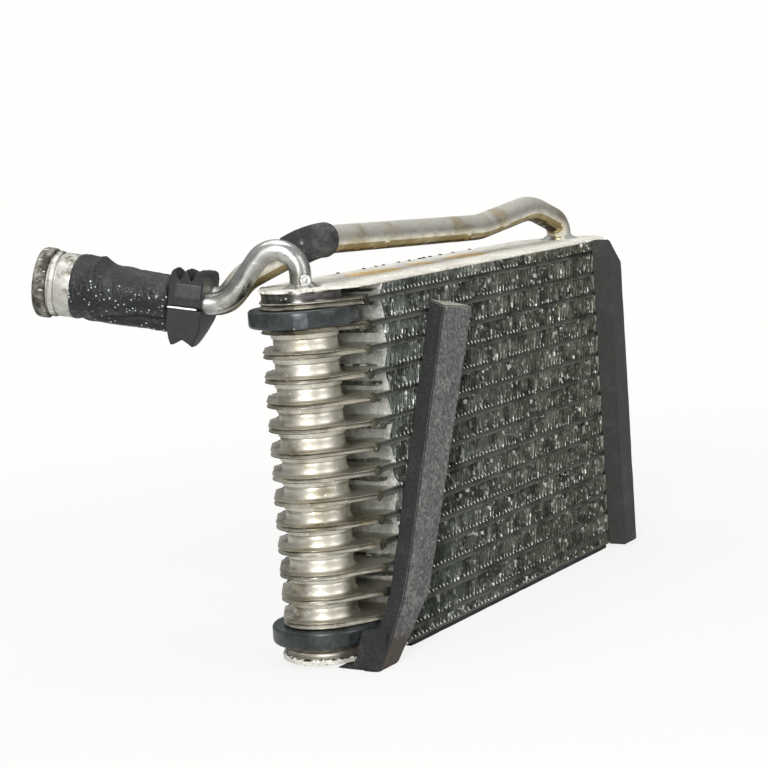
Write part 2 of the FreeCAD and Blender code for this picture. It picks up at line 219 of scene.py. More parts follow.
# %% Effect: specks
specks, given, mask_out, place = new_group("specks", [
    ("Scale", FLOAT, 400.0), ("Size", FLOAT, 0.25), ("Share", FLOAT, 0.5), ("Stretch", VECTOR, (1, 1, 1)),
])
scaled = vector_maths(specks, "MULTIPLY", place, given["Stretch"])
spots = add_node(specks, "ShaderNodeTexVoronoi", Vector=scaled["Vector"], Scale=given["Scale"])
near = maths(specks, "LESS_THAN", spots.outputs["Distance"], given["Size"])
chance = add_node(specks, "ShaderNodeSeparateColor", Color=spots.outputs["Color"])
chosen = maths(specks, "LESS_THAN", chance.outputs[0], given["Share"])
specks.links.new(maths(specks, "MULTIPLY", near, chosen), mask_out)
print("effect:", specks.name)

# %% [markdown]
# A stain is one blotch at a known place, with a ragged edge. It is used for the rust-coloured
# marks on the upper side plate, for the bare scars on the fins and for the damp foot of the
# loose strip. The distance from its centre is shaken by noise before it is cut off.

# %% Effect: stain
stain, given, mask_out, place = new_group("stain", [
    ("Centre", VECTOR, (0, 0, 0)), ("Size", VECTOR, (0.01, 0.01, 0.01)), ("Ragged", FLOAT, 0.5),
])
offset = vector_maths(stain, "SUBTRACT", place, given["Centre"])["Vector"]
share = vector_maths(stain, "DIVIDE", offset, given["Size"])["Vector"]
far = vector_maths(stain, "LENGTH", share)["Value"]
cloud = add_node(stain, "ShaderNodeTexNoise", Vector=place, Scale=140.0, Detail=5.0)
shake = maths(stain, "MULTIPLY", cloud.outputs["Fac"], given["Ragged"])
outside, inside = 1.25, 0.85
stain.links.new(ramp(stain, maths(stain, "ADD", far, shake), outside, inside), mask_out)
print("effect:", stain.name)

# %% [markdown]
# A finish starts from one colour and lets masks mix others over it, as paint, film and dirt
# would lie over each other. The same masks drive roughness and small bumps, so a patch of
# dust is also duller and slightly raised.

# %% Helper: use an effect, mix colours and raise bumps
def effect(tree, group, **sockets):
    """Place a shared effect in a material and return its mask."""
    node = tree.nodes.new("ShaderNodeGroup")
    node.node_tree = group
    for name, value in sockets.items():
        set_socket(tree, node.inputs[name], value)
    return node.outputs["Mask"]


def mix_colour(tree, mask, first, second, strength=1.0):
    """Colour that goes from the first towards the second as the mask goes from 0 to 1."""
    if strength != 1.0:
        mask = maths(tree, "MULTIPLY", mask, strength)
    node = tree.nodes.new("ShaderNodeMix")
    node.data_type = "RGBA"
    set_socket(tree, node.inputs[0], mask)
    for socket, value in ((node.inputs[6], first), (node.inputs[7], second)):
        set_socket(tree, socket, value if isinstance(value, bpy.types.NodeSocket) else (*value, 1))
    return node.outputs[2]


def mix_value(tree, mask, first, second):
    """The same for a plain value, such as roughness."""
    node = tree.nodes.new("ShaderNodeMix")
    for socket, value in zip((node.inputs[0], node.inputs[2], node.inputs[3]), (mask, first, second)):
        set_socket(tree, socket, value)
    return node.outputs[0]


def toned(colour, share):
    """A colour scaled by a share, and never above white."""
    return tuple(min(1, share * part) for part in colour)


def bumps(tree, *layers):
    """Chain of bump nodes, one for each (mask, strength, height in millimetres)."""
    normal = None
    for mask, strength, height in layers:
        node = add_node(tree, "ShaderNodeBump", Height=mask, Strength=strength, Distance=height * MM)
        if normal:
            tree.links.new(normal, node.inputs["Normal"])
        normal = node.outputs["Normal"]
    return normal


def start_material(name, metallic, specular=0.5):
    """New material with its node tree and its Principled shader."""
    material = bpy.data.materials.new(name)
    material.use_nodes = True
    tree = material.node_tree
    surface = tree.nodes["Principled BSDF"]
    surface.inputs["Metallic"].default_value = metallic
    surface.inputs["Specular IOR Level"].default_value = specular
    return material, tree, surface


def finish_material(tree, surface, colour, roughness, normal):
    """Feed the mixed colour, roughness and bumps into the shader."""
    for label, value in (("Base Color", colour), ("Roughness", roughness), ("Normal", normal)):
        set_socket(tree, surface.inputs[label], value)


# %% [markdown]
# Drawn aluminium on the tanks is satin and slightly warm, with fine lines round the cups from
# the press tool, brown-grey film in places and white oxide specks. A stretched patch pattern
# gives the lines. The same recipe with other colours makes the painted shade in the lips'
# groove, the dark last cups, the dusty edges along the core, darkened as painted shade, and
# the crimped tabs.

# %% Finish: drawn aluminium
def aluminium(name, clean, film_colour, roughness, film_low=0.44, metallic=1.0, speck_share=0.10):
    """Drawn sheet: film, drawing lines, worn places and white oxide specks."""
    material, tree, surface = start_material(name, metallic)
    film = effect(tree, patches, Scale=45.0, Detail=5.0, Low=film_low, High=film_low + 0.26)
    lines = effect(tree, patches, Scale=60.0, Detail=6.0, Low=0.3, High=0.7, Stretch=(1, 1, 30))
    oxide = effect(tree, specks, Scale=520.0, Size=0.32, Share=speck_share)
    worn = effect(tree, patches, Scale=160.0, Detail=6.0, Low=0.58, High=0.66)
    colour = mix_colour(tree, film, clean, film_colour)
    colour = mix_colour(tree, worn, colour, toned(clean, 1.2), 0.6)
    colour = mix_colour(tree, oxide, colour, (0.80, 0.80, 0.76))
    finish_material(tree, surface, colour, mix_value(tree, lines, roughness, roughness + 0.14),
                    bumps(tree, (lines, 0.25, 0.05), (film, 0.15, 0.10), (oxide, 0.3, 0.05)))
    return material


tank_metal = aluminium("drawn_aluminium", (0.65, 0.62, 0.54), (0.34, 0.30, 0.215), 0.38)
# Painted shade: the groove under the upper lip and the lower lip's edge are coloured dark, as shade.
lip_groove_painted_shade = aluminium("lip_groove_painted_shade_metal", (0.16, 0.145, 0.095), (0.05, 0.045, 0.028), 0.6, speck_share=0.02)
end_cup_metal = aluminium("dark_end_cup", (0.17, 0.165, 0.155), (0.06, 0.057, 0.05), 0.18, speck_share=0.04)
# Dust and painted shade: the tube edges sit back between the fins and are coloured darker for their shade.
dusty_shaded_tube_edge = aluminium("dusty_tube_edge_painted_shade", (0.115, 0.12, 0.10), (0.035, 0.037, 0.03), 0.7,
                            film_low=0.42, metallic=0.3, speck_share=0.0)
tab_metal = aluminium("crimp_tab_metal", (0.10, 0.096, 0.062), (0.022, 0.022, 0.014), 0.55,
                      film_low=0.36, metallic=0.6, speck_share=0.02)
# Painted highlight: bright metal for the lit pipe seen inside the grommet's slit.
slit_painted_highlight = aluminium("slit_painted_highlight_metal", (0.80, 0.80, 0.80), (0.45, 0.43, 0.40), 0.35)
print("drawn aluminium made")

# %% [markdown]
# The fins are thin sheet, dull and full of dust, greener and bluer near the left tank and
# browner at the right. Their edges are nicked bright, and two places in front are crushed to
# bare metal. Rows of louvres are pressed into every leg of the real strip, and a wave pattern
# stands for them, because they are finer than the picture shows.

# %% Finish: fin stock
fin_metal, tree, surface = start_material("dusty_fin_stock", 0.7)
place = object_place(tree)
split = add_node(tree, "ShaderNodeSeparateXYZ", Vector=place)
rightward = ramp(tree, split.outputs["X"], -130 * MM, 90 * MM)
tint = mix_colour(tree, rightward, (0.33, 0.365, 0.32), (0.32, 0.315, 0.24))
dust = effect(tree, patches, Scale=70.0, Detail=6.0, Low=0.42, High=0.64)
bare = effect(tree, patches, Scale=300.0, Detail=3.0, Low=0.55, High=0.64)
nicks = effect(tree, specks, Scale=430.0, Size=0.38, Share=0.20, Stretch=(1, 0.3, 0.6))
louvres = add_node(tree, "ShaderNodeTexWave", Vector=place, Scale=260.0, Distortion=1.5, Detail=2.0)
louvres.bands_direction = "Y"
slits = ramp(tree, louvres.outputs["Fac"], 0.25, 0.6)
colour = mix_colour(tree, dust, tint, (0.105, 0.11, 0.086))
colour = mix_colour(tree, slits, colour, (0.03, 0.032, 0.027), 0.45)
colour = mix_colour(tree, bare, colour, (0.60, 0.63, 0.60), 0.7)
colour = mix_colour(tree, nicks, colour, (0.92, 0.93, 0.90))
for x, z, reach in ((107.3, 83.8, 5.0), (121.4, 188.8, 3.5)):
    scar = effect(tree, stain, Centre=(x * MM, -half_depth, z * MM), Size=(reach * MM,) * 3, Ragged=0.8)
    colour = mix_colour(tree, scar, colour, (0.95, 0.95, 0.93))
finish_material(tree, surface, colour, mix_value(tree, dust, 0.42, 0.7),
                bumps(tree, (bare, 0.4, 0.15), (slits, 0.6, 0.3), (dust, 0.2, 0.2)))
print("finish:", fin_metal.name)

# %% [markdown]
# The cut end of each fin strip is sheltered by the tank, so it has kept its pale, mottled
# aluminium look, and the folded corners and the nicked crests are nearly white.

# %% Finish: pale fin ends and bright edges
end_metal, tree, surface = start_material("pale_fin_end", 0.15, 0.4)
mottle = effect(tree, patches, Scale=300.0, Detail=5.0, Low=0.40, High=0.62)
shade = effect(tree, patches, Scale=60.0, Detail=4.0, Low=0.42, High=0.62, Shift=(3, 0, 1))
colour = mix_colour(tree, mottle, (0.56, 0.58, 0.55), (0.80, 0.81, 0.77))
colour = mix_colour(tree, shade, colour, (0.36, 0.40, 0.38), 0.5)
finish_material(tree, surface, colour, mix_value(tree, mottle, 0.34, 0.5), bumps(tree, (mottle, 0.3, 0.2)))
bright_metal, tree, surface = start_material("bright_fin_edge", 0.4, 0.5)
glint = effect(tree, patches, Scale=500.0, Detail=2.0, Low=0.40, High=0.60)
colour = mix_colour(tree, glint, (0.66, 0.68, 0.64), (0.95, 0.95, 0.92))
finish_material(tree, surface, colour, mix_value(tree, glint, 0.3, 0.45), bumps(tree, (glint, 0.3, 0.1)))
print("finishes:", end_metal.name, bright_metal.name)

# %% [markdown]
# The side plates are chalky with white corrosion. The upper one carries three rust-coloured
# blotches from old foam glue. Each mark is given by its place and its reach in X and Y.

# %% Finish: chalky side plate
plate_metal, tree, surface = start_material("chalky_side_plate", 0.1, 0.3)
chalk = effect(tree, patches, Scale=90.0, Detail=6.0, Low=0.35, High=0.65)
bloom = effect(tree, patches, Scale=380.0, Detail=4.0, Low=0.45, High=0.70)
crumbs = effect(tree, patches, Scale=620.0, Detail=3.0, Low=0.60, High=0.66)
grime = effect(tree, patches, Scale=30.0, Detail=7.0, Low=0.52, High=0.70, Shift=(7, 2, 5))
colour = mix_colour(tree, chalk, (0.60, 0.57, 0.49), (0.76, 0.735, 0.67))
colour = mix_colour(tree, bloom, colour, (0.84, 0.82, 0.76))
colour = mix_colour(tree, grime, colour, (0.36, 0.33, 0.26), 0.30)
colour = mix_colour(tree, crumbs, colour, (0.22, 0.20, 0.16))
glue_marks = ((-75, 8, 32, 15), (-19, 8, 14, 12), (34, 6, 27, 14))
for x, y, reach_x, reach_y in glue_marks:
    blot = effect(tree, stain, Centre=(x * MM, y * MM, top_high.z),
                  Size=(reach_x * MM, reach_y * MM, 10 * MM), Ragged=0.55)
    grain = effect(tree, patches, Scale=300.0, Detail=6.0, Low=0.40, High=0.60, Shift=(x, y, 0))
    rust = mix_colour(tree, grain, (0.60, 0.37, 0.12), (0.84, 0.64, 0.31))
    colour = mix_colour(tree, blot, colour, rust, 0.95)
finish_material(tree, surface, colour, mix_value(tree, chalk, 0.5, 0.75),
                bumps(tree, (bloom, 0.35, 0.25), (chalk, 0.2, 0.4)))
print("glue marks:", len(glue_marks))

# %% [markdown]
# The rim of the lower plate is white with corrosion and eaten through in black jagged spots.
# The spots' edges are hard, so the two levels of the pattern lie close together.

# %% Finish: eaten rim
rim_metal, tree, surface = start_material("eaten_plate_rim", 0.05, 0.3)
jagged = effect(tree, patches, Scale=330.0, Detail=4.0, Low=0.49, High=0.54)
colour = mix_colour(tree, jagged, (0.84, 0.83, 0.79), (0.03, 0.03, 0.025))
finish_material(tree, surface, colour, mix_value(tree, jagged, 0.5, 0.7), bumps(tree, (jagged, 0.5, 0.4)))
print("finish:", rim_metal.name)

# %% [markdown]
# Both pipes, the braze and the connector share one recipe: satin metal with cloudy places,
# scuffs, pin holes and patches of yellow-brown film. The wide pipe is warmer than the narrow
# one, and is painted tan low on its sides and dark underneath as painted shade, so it has three
# versions.

# %% Finish: pipes, braze and connector
def pipe_finish(name, clean, film_colour, film_low, roughness, metallic=1.0, patch_scale=38.0):
    """Bent or turned aluminium with patches of film."""
    material, tree, surface = start_material(name, metallic)
    film = effect(tree, patches, Scale=patch_scale, Detail=6.0, Low=film_low, High=film_low + 0.2)
    cloudy = effect(tree, patches, Scale=110.0, Detail=5.0, Low=0.38, High=0.66, Shift=(2, 9, 4))
    scuffs = effect(tree, patches, Scale=420.0, Detail=3.0, Low=0.62, High=0.68, Stretch=(0.25, 0.25, 1))
    pin_holes = effect(tree, specks, Scale=620.0, Size=0.25, Share=0.06)
    colour = mix_colour(tree, cloudy, clean, toned(clean, 0.74))
    colour = mix_colour(tree, film, colour, film_colour)
    colour = mix_colour(tree, scuffs, colour, (0.85, 0.85, 0.82), 0.6)
    colour = mix_colour(tree, pin_holes, colour, (0.14, 0.13, 0.11))
    finish_material(tree, surface, colour, mix_value(tree, cloudy, roughness, roughness + 0.16),
                    bumps(tree, (cloudy, 0.15, 0.2), (scuffs, 0.2, 0.05), (film, 0.2, 0.1)))
    return material


inlet_metal = pipe_finish("inlet_pipe_metal", (0.50, 0.50, 0.475), (0.25, 0.24, 0.195), 0.50, 0.24)
outlet_metal = pipe_finish("outlet_pipe_metal", (0.88, 0.85, 0.75), (0.60, 0.52, 0.36), 0.49, 0.36)
# Painted shade: the wide pipe's lower sides are coloured tan and its underside dark, where shade falls.
outlet_painted_half_shade = pipe_finish("outlet_pipe_painted_half_shade", (0.47, 0.39, 0.22), (0.30, 0.235, 0.11), 0.42, 0.42)
outlet_painted_shade = pipe_finish("outlet_pipe_painted_shade_underside", (0.13, 0.108, 0.066), (0.05, 0.04, 0.022),
                           0.44, 0.55)
braze_metal = pipe_finish("braze_metal", (0.74, 0.74, 0.71), (0.50, 0.48, 0.42), 0.56, 0.26)
connector_metal = pipe_finish("connector_metal", (0.58, 0.57, 0.52), (0.11, 0.10, 0.068), 0.46, 0.46,
                              metallic=0.55, patch_scale=110.0)
collar_metal = pipe_finish("oxidised_collar", (0.30, 0.29, 0.25), (0.045, 0.042, 0.033), 0.38, 0.60,
                           metallic=0.5, patch_scale=130.0)
print("materials so far:", len(bpy.data.materials))

# %% [markdown]
# Rubber, tape and foam are all nearly black, and differ in how they catch the light. Rubber
# is satin with pale dust, tape is creased and shiny in small spots, and foam is matt with
# pores. One recipe with a few values covers the three. Pore depths are in millimetres.

# %% Finish: recipe for rubber, tape and foam
def black_finish(name, base, dust_colour, dust_low, roughness, speck_share, pore_scale, pore_depth,
                 speck_gain=3.2, speck_size=0.30, pore_dark=0.45, damp=None):
    """Black soft stuff with dust, specks and pores, and brown with damp round a given place."""
    material, tree, surface = start_material(name, 0.0, 0.4)
    dust = effect(tree, patches, Scale=55.0, Detail=6.0, Low=dust_low, High=dust_low + 0.22)
    grit = effect(tree, specks, Scale=pore_scale, Size=speck_size, Share=speck_share)
    pores = effect(tree, patches, Scale=pore_scale, Detail=3.0, Low=0.38, High=0.62, Shift=(1, 5, 2))
    colour = mix_colour(tree, dust, base, dust_colour)
    colour = mix_colour(tree, grit, colour, toned(dust_colour, speck_gain))
    colour = mix_colour(tree, pores, colour, toned(base, 0.45), pore_dark)
    if damp:
        wet = effect(tree, stain, Centre=damp[0], Size=damp[1], Ragged=0.5)
        colour = mix_colour(tree, wet, colour, (0.060, 0.044, 0.034), 0.85)
    finish_material(tree, surface, colour, mix_value(tree, grit, roughness, max(0.12, roughness - 0.35)),
                    bumps(tree, (pores, 0.5, pore_depth), (dust, 0.1, 0.2)))
    return material


# %% Finish: rubber and tape
ring_rubber = black_finish("ring_rubber", (0.020, 0.024, 0.025), (0.050, 0.057, 0.056), 0.44, 0.28,
                           speck_share=0.02, pore_scale=300.0, pore_depth=0.02)
# Painted reflection: a paler, glossier patch on the upper ring stands for a lamp's reflection.
ring_painted_reflection = black_finish("ring_rubber_painted_reflection", (0.055, 0.064, 0.070), (0.16, 0.18, 0.195), 0.44, 0.22,
                          speck_share=0.05, pore_scale=300.0, pore_depth=0.05)
grommet_rubber = black_finish("grommet_rubber", (0.010, 0.0105, 0.012), (0.020, 0.020, 0.022), 0.52, 0.45,
                              speck_share=0.02, pore_scale=300.0, pore_depth=0.03)
grommet_pad_rubber = black_finish("grommet_pad_rubber", (0.028, 0.029, 0.032), (0.045, 0.045, 0.048),
                                  0.45, 0.50, speck_share=0.02, pore_scale=300.0, pore_depth=0.02)
tape_black = black_finish("tape_black", (0.010, 0.011, 0.010), (0.045, 0.049, 0.042), 0.46, 0.50,
                          speck_share=0.06, pore_scale=560.0, pore_depth=0.8, speck_gain=3.0)
# Painted highlight: near-white specks on the tape stand for glints.
tape_painted_glints = black_finish("tape_painted_glint_specks", (0.007, 0.007, 0.007), (0.022, 0.025, 0.025), 0.48, 0.30,
                        speck_share=0.24, pore_scale=620.0, pore_depth=0.45, speck_gain=28.0)
print("rubber and tape made")

# %% [markdown]
# The foam is the same stuff everywhere. On the loose strip the front and top are painted
# lighter grey, as painted light, and the cut sides are left black, as shaded. Where that strip
# stands on the floor it is brown with damp.

# %% Finish: foam
damp_foot = (Vector((-172, -44, 0)) * MM, Vector((45, 35, 21)) * MM)
sleeve_foam = black_finish("sleeve_foam", (0.022, 0.0225, 0.023), (0.085, 0.085, 0.084), 0.40, 0.85,
                           speck_share=0.09, pore_scale=340.0, pore_depth=1.3)
strip_foam = black_finish("strip_foam", (0.026, 0.027, 0.026), (0.050, 0.051, 0.047), 0.50, 0.88,
                          speck_share=0.01, pore_scale=760.0, pore_depth=0.30, speck_gain=1.6,
                          speck_size=0.3, pore_dark=0.75)
corner_foam = black_finish("corner_foam", (0.048, 0.052, 0.046), (0.075, 0.076, 0.072), 0.50, 0.80,
                           speck_share=0.01, pore_scale=760.0, pore_depth=0.25, speck_gain=1.6)
# Painted light: the strip's front and top are lighter grey, as lit; the front one also has the damp stain.
damp_strip_front_painted_light = black_finish("damp_strip_front_painted_light_foam", (0.150, 0.150, 0.146), (0.205, 0.205, 0.19), 0.44, 0.88,
                          speck_share=0.10, pore_scale=560.0, pore_depth=0.6, speck_gain=1.5,
                          speck_size=0.36, pore_dark=0.95, damp=damp_foot)
strip_top_painted_light = black_finish("strip_top_painted_light", (0.30, 0.30, 0.25), (0.40, 0.40, 0.34), 0.44, 0.88,
                              speck_share=0.02, pore_scale=620.0, pore_depth=0.30, speck_gain=1.4)
pad_foam = black_finish("pad_foam", (0.018, 0.019, 0.020), (0.04, 0.04, 0.04), 0.45, 0.85,
                        speck_share=0.04, pore_scale=700.0, pore_depth=0.25)
print("finishes:", len(bpy.data.materials))

# %% [markdown]
# A few helpers build every mesh. A skin joins rings of points into a surface, and most pieces
# below are one skin: a turned piece is a skin of circles, and a pipe is a skin of circles
# along a bent path. Writing points in code keeps every dent and lip where it is wanted.

# %% Helper: faces and points from rings
def skin(rings, closed=True, caps="none"):
    """Faces between rings of equal count, with no caps, one on the last ring, or both."""
    count = len(rings[0])
    faces = []
    for i in range(len(rings) - 1):
        for j in range(count if closed else count - 1):
            a = i * count + j
            b = i * count + (j + 1) % count
            faces.append((a, b, b + count, a + count))
    if caps == "both":
        faces.append(tuple(range(count))[::-1])
    if caps in ("last", "both"):
        faces.append(tuple((len(rings) - 1) * count + j for j in range(count)))
    return faces


def merge(parts):
    """Join several (rings, faces) parts into one list of points and faces."""
    verts = []
    faces = []
    for rings, part_faces in parts:
        base = len(verts)
        verts += [p for ring in rings for p in ring]
        faces += [tuple(i + base for i in face) for face in part_faces]
    return verts, faces


def full_turn(steps):
    """Equal angles once round."""
    return [2 * math.pi * k / steps for k in range(steps)]


def circle_ring(radius, height, centre, steps):
    """Level circle of points round a vertical axis."""
    return [Vector((centre[0] + radius * math.cos(angle), centre[1] + radius * math.sin(angle), height))
            for angle in full_turn(steps)]


def clamp(value, low, high):
    """Keep a number between two limits."""
    return max(low, min(high, value))


def wobble(point, scale, seed=0.0):
    """Smooth number from -1 to 1 that depends only on the place, so each run gives the same."""
    place = (point[0] * scale + seed, point[1] * scale - seed, point[2] * scale + 2 * seed)
    return noise.noise(Vector(place))


# %% [markdown]
# A piece is smooth-shaded, with its sharper edges kept crisp. Where dirt, painted shade or a
# painted highlight keeps to one part of a piece, a second material is picked face by face,
# which keeps each material simple.

# %% Helper: make a piece and fix it to the object
def link_piece(name, mesh, sharp):
    """Shade a mesh smoothly up to an angle in degrees and put it in the scene."""
    mesh.set_sharp_from_angle(angle=math.radians(sharp))
    piece = bpy.data.objects.new(name, mesh)
    bpy.context.collection.objects.link(piece)
    return piece


def make_piece(name, verts, faces, materials, sharp=40, pick=None):
    """Piece from points and faces. pick gives each face the number of its material."""
    mesh = bpy.data.meshes.new(name)
    mesh.from_pydata([tuple(v) for v in verts], [], faces)
    for material in materials:
        mesh.materials.append(material)
    mesh.validate()
    form = bmesh.new()
    form.from_mesh(mesh)
    bmesh.ops.recalc_face_normals(form, faces=form.faces)
    form.to_mesh(mesh)
    form.free()
    for polygon in mesh.polygons:
        polygon.use_smooth = True
        if pick:
            polygon.material_index = pick(polygon.center, polygon.normal)
    return link_piece(name, mesh, sharp)


def ring_piece(name, rings, materials, sharp, closed=True, caps="none", pick=None):
    """Piece made of a single skin of rings."""
    points = [p for ring in rings for p in ring]
    return make_piece(name, points, skin(rings, closed, caps), materials, sharp, pick)


def dress(piece, slot_name, *nodes):
    """Fix a piece to the object, and let it stand for the nodes it replaces."""
    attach(piece, "root")
    if nodes:
        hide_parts(*nodes)


# %% [markdown]
# A flat tube is two drawn plates, brazed rim to rim. Round the tanks their lips stand apart
# like a thin mouth, and along the core they close to a plain edge. The outline is walked
# once round, and rings at several heights make the two lips. Each ring is shifted a little
# by noise, because the real lips are nicked and wavy.

# %% Tubes: outline
def taper_ends(radius, depth):
    """Where the taper leaves the full depth, and where it touches the round end."""
    touch_x = tank_x + radius * math.sin(plate_taper)
    touch_y = radius * math.cos(plate_taper)
    return touch_x - (depth - touch_y) / math.tan(plate_taper), touch_x, touch_y


def plate_outline(radius, depth, arc_steps=26, edge_steps=44, taper_steps=3):
    """Points (x, y) once round a plate with two round ends, tapered into its full depth."""
    wide_x, touch_x, touch_y = taper_ends(radius, depth)
    arc_half = math.pi / 2 - plate_taper
    points = []
    for side in (1, -1):
        for k in range(edge_steps):
            points.append((side * (-wide_x + 2 * wide_x * k / edge_steps), -side * depth))
        for k in range(taper_steps):
            share = k / taper_steps
            points.append((side * (wide_x + share * (touch_x - wide_x)),
                           -side * (depth + share * (touch_y - depth))))
        for k in range(arc_steps):
            angle = -arc_half + 2 * arc_half * k / arc_steps
            points.append((side * (tank_x + radius * math.cos(angle)), side * radius * math.sin(angle)))
        for k in range(taper_steps):
            share = k / taper_steps
            points.append((side * (touch_x + share * (wide_x - touch_x)),
                           side * (touch_y + share * (depth - touch_y))))
    return points


print("outline points:", len(plate_outline(flange_radius, half_depth)))

# %% Tubes: lips
lip_levels = (
    (0.00, 4.6), (0.00, 0.35), (0.06, 0.06), (0.14, 0.0), (0.24, 0.06), (0.42, 0.25), (1.00, 0.8),
    (1.50, 1.2), (2.00, 1.6), (2.20, 1.9), (2.54, 2.1), (2.66, 1.2), (2.74, 0.1), (2.84, 0.0),
    (2.94, 0.06), (3.00, 0.4), (3.00, 4.6),
)
front_groove = 1.8


def lip_rings(index, bottom):
    """Rings up the tube's edge, each at a (height, inset) in millimetres."""
    rings = []
    for height, inset in lip_levels:
        ring = []
        for x, y in plate_outline(flange_radius - inset * MM, half_depth - min(inset, front_groove) * MM):
            beyond = max(0.0, abs(x) - half_length) / (tank_x - half_length)
            shift = 0.35 * MM * min(1.0, beyond) * wobble((x, y, index * 0.05), 55)
            nick = 1 - 0.004 * max(0.0, wobble((x, y, height * 0.01 + index), 420))
            ring.append(Vector((x * (nick if beyond > 0.4 else 1), y * nick, bottom + height * MM + shift)))
        rings.append(ring)
    return rings


print("lip levels:", len(lip_levels))

# %% [markdown]
# The cups are turned profiles, each a list of (radius, height) from the tube's upper or lower
# face. Above the plate the neck sweeps up from the lip in a hollow curve, and below it a
# slightly wider shoulder fits over the neck of the tube below. The line between them is the
# real joint. The first and the last cup are closed ends without a neck.

# %% Tubes: drawn cups
neck_profile = ((20.4, -0.15), (19.4, 0.15), (18.6, 0.7), (18.1, 1.5), (17.8, 2.6), (17.65, 3.9),
                (17.6, 5.0), (17.6, 6.9), (17.3, 7.2), (16.6, 7.25), (16.6, 7.6))
shoulder_profile = ((16.4, -3.0), (18.1, -3.1), (18.5, -2.9), (18.6, -2.4), (18.55, -0.9), (18.8, -0.4),
                    (19.8, 0.1))
first_cup_profile = ((22.9, -4.7), (22.9, -3.9), (21.4, -3.2), (20.2, -1.6), (20.4, -0.6), (21.6, 0.1))
last_cup_profile = ((23.0, -0.1), (22.4, 0.3), (22.3, 1.0), (22.2, 3.6), (22.45, 5.2), (22.3, 5.8))
cup_steps = 72


def cup(profile, side, level, index):
    """One turned cup at the left (-1) or right (1) tank, slightly out of round."""
    rings = []
    for radius, height in profile:
        ring = circle_ring(radius * MM, level + height * MM, (side * tank_x, 0), cup_steps)
        for p in ring:
            swell = 0.10 * MM * wobble(p, 70, index)
            p += Vector((p.x - side * tank_x, p.y, 0)).normalized() * swell
        rings.append(ring)
    return rings, skin(rings)


print("widest neck:", 2 * neck_profile[0][0], "mm")

# %% [markdown]
# Small crimped tabs hold the two plates together at the corners where the rim meets the
# core. They are little folded blocks, dented and dirty, so each one is shaken differently.

# %% Tubes: crimp tabs
tab_size = Vector((4.6, 2.0, 5.4)) * MM
tab_inset = 2.2 * MM
tab_section = ((-0.5, 0.55), (-0.42, 0.9), (0.0, 1.0), (0.42, 0.9), (0.5, 0.55))


def crimp_tab(x, y, level, seed):
    """Rounded block over the rim, made of five rings and shaken by noise. Rear ones are lower."""
    half_height = 0.54 * tab_size.z * (1 if y < 0 else 0.55)
    rings = []
    for share, shrink in tab_section:
        ring = []
        for k in range(8):
            angle = math.pi / 4 * k + math.pi / 8
            p = Vector((x + share * tab_size.x,
                        y + 0.62 * tab_size.y * shrink * math.cos(angle),
                        level + half_height * shrink * math.sin(angle)))
            p += Vector((0.8, 0.5, 0.9)) * MM * wobble(p, 420, seed)
            ring.append(p)
        rings.append(ring)
    return rings, skin(rings, caps="both")


print("tabs:", 4 * len(tube_levels))

# %% [markdown]
# Each tube joins its lips, four cups and four tabs into one piece. Its faces are sorted by
# place: clean drawn metal, the painted shade in the lips' groove, the dark last cup, the dusty
# edge along the core with its painted shade, and the brown tabs.

# %% Tubes: assembly
clean_face, groove_shade_face, end_cup_face, edge_face, tab_face = range(5)
tube_metals = (tank_metal, lip_groove_painted_shade, end_cup_metal, dusty_shaded_tube_edge, tab_metal)
wide_end = taper_ends(flange_radius, half_depth)[0]


def tube_finish(bottom, top, last):
    """The rule that sorts the faces of the tube between two levels."""
    def pick(centre, normal):
        across_core = abs(centre.y)
        along_core = abs(centre.x)
        if abs(along_core - wide_end + tab_inset) < 0.7 * tab_size.x and across_core > half_depth - 0.2 * MM:
            return tab_face
        # Dust and painted shade: the recessed edge along the core gets the darker metal.
        if along_core < wide_end - tab_inset and across_core > half_depth - 2 * MM:
            return edge_face
        if last and centre.z > top + 0.3 * MM:
            return end_cup_face
        rise = (centre.z - bottom) / MM
        far_out = math.hypot(along_core - tank_x, centre.y)
        # Painted shade: faces deep in the lips' groove and on the lower lip's edge get the dark metal.
        if far_out > flange_radius - 2.5 * MM and (2.25 < rise < 2.72 or 0.04 < rise < 0.36):
            return groove_shade_face
        return clean_face
    return pick


for index, (bottom, top) in enumerate(tube_levels):
    rings = lip_rings(index, bottom)
    parts = [(rings, skin(rings, caps="both"))]
    last = index == len(tube_levels) - 1
    for side in (-1, 1):
        parts.append(cup(last_cup_profile if last else neck_profile, side, top, index))
        parts.append(cup(shoulder_profile if index else first_cup_profile, side, bottom, index + 0.5))
        for edge in (-1, 1):
            tab_x = side * (wide_end - tab_inset * (1 if edge < 0 else 3))
            parts.append(crimp_tab(tab_x, edge * half_depth, (bottom + top) / 2, index + side + 2 * edge))
    verts, faces = merge(parts)
    tube = make_piece(tube_names[index] + "_dressed", verts, faces, tube_metals, 50,
                      tube_finish(bottom, top, last))
    dress(tube, "tube_aluminium", tube_names[index])
print("tubes dressed:", len(tube_levels), "with", len(faces), "faces each")

# %% [markdown]
# A fin row is one strip folded into narrow waves, about four millimetres each. The real
# sheet is a tenth of a millimetre, so a single surface is enough here. The fold runs along
# X, and lines at several depths let the front edge bend while the middle stays straight.
# Some places are crushed, as by a thumb or a stone: each is given by X, Z and its reach.

# %% Fins: fold and damage
fin_wave = 4.15 * MM
fold_steps = 8
depth_lines = (-33.62, -33.0, -31.6, -29.0, -24.0, 0.0, 24.0, 29.0, 31.6, 33.0, 33.62)
outermost = 33.2
fringe = 0.9 * MM
loose_depth = 5 * MM
burr_depth = 0.8 * MM
crushed = ((107, 84, 5.0), (121, 188, 3.5), (82, 172, 3.0), (-10, 62, 4.5), (30, 118, 3.5),
           (64, 54, 3.0), (-42, 160, 3.0), (12, 30, 3.5), (-108, 96, 4.0))


def fold_level(phase):
    """Height share, from 0 to 1, of a wave with flattened crests."""
    swing = 1 - 4 * abs(phase % 1.0 - 0.5)
    return 0.5 + 0.5 * clamp(1.3 * swing, -1.0, 1.0)


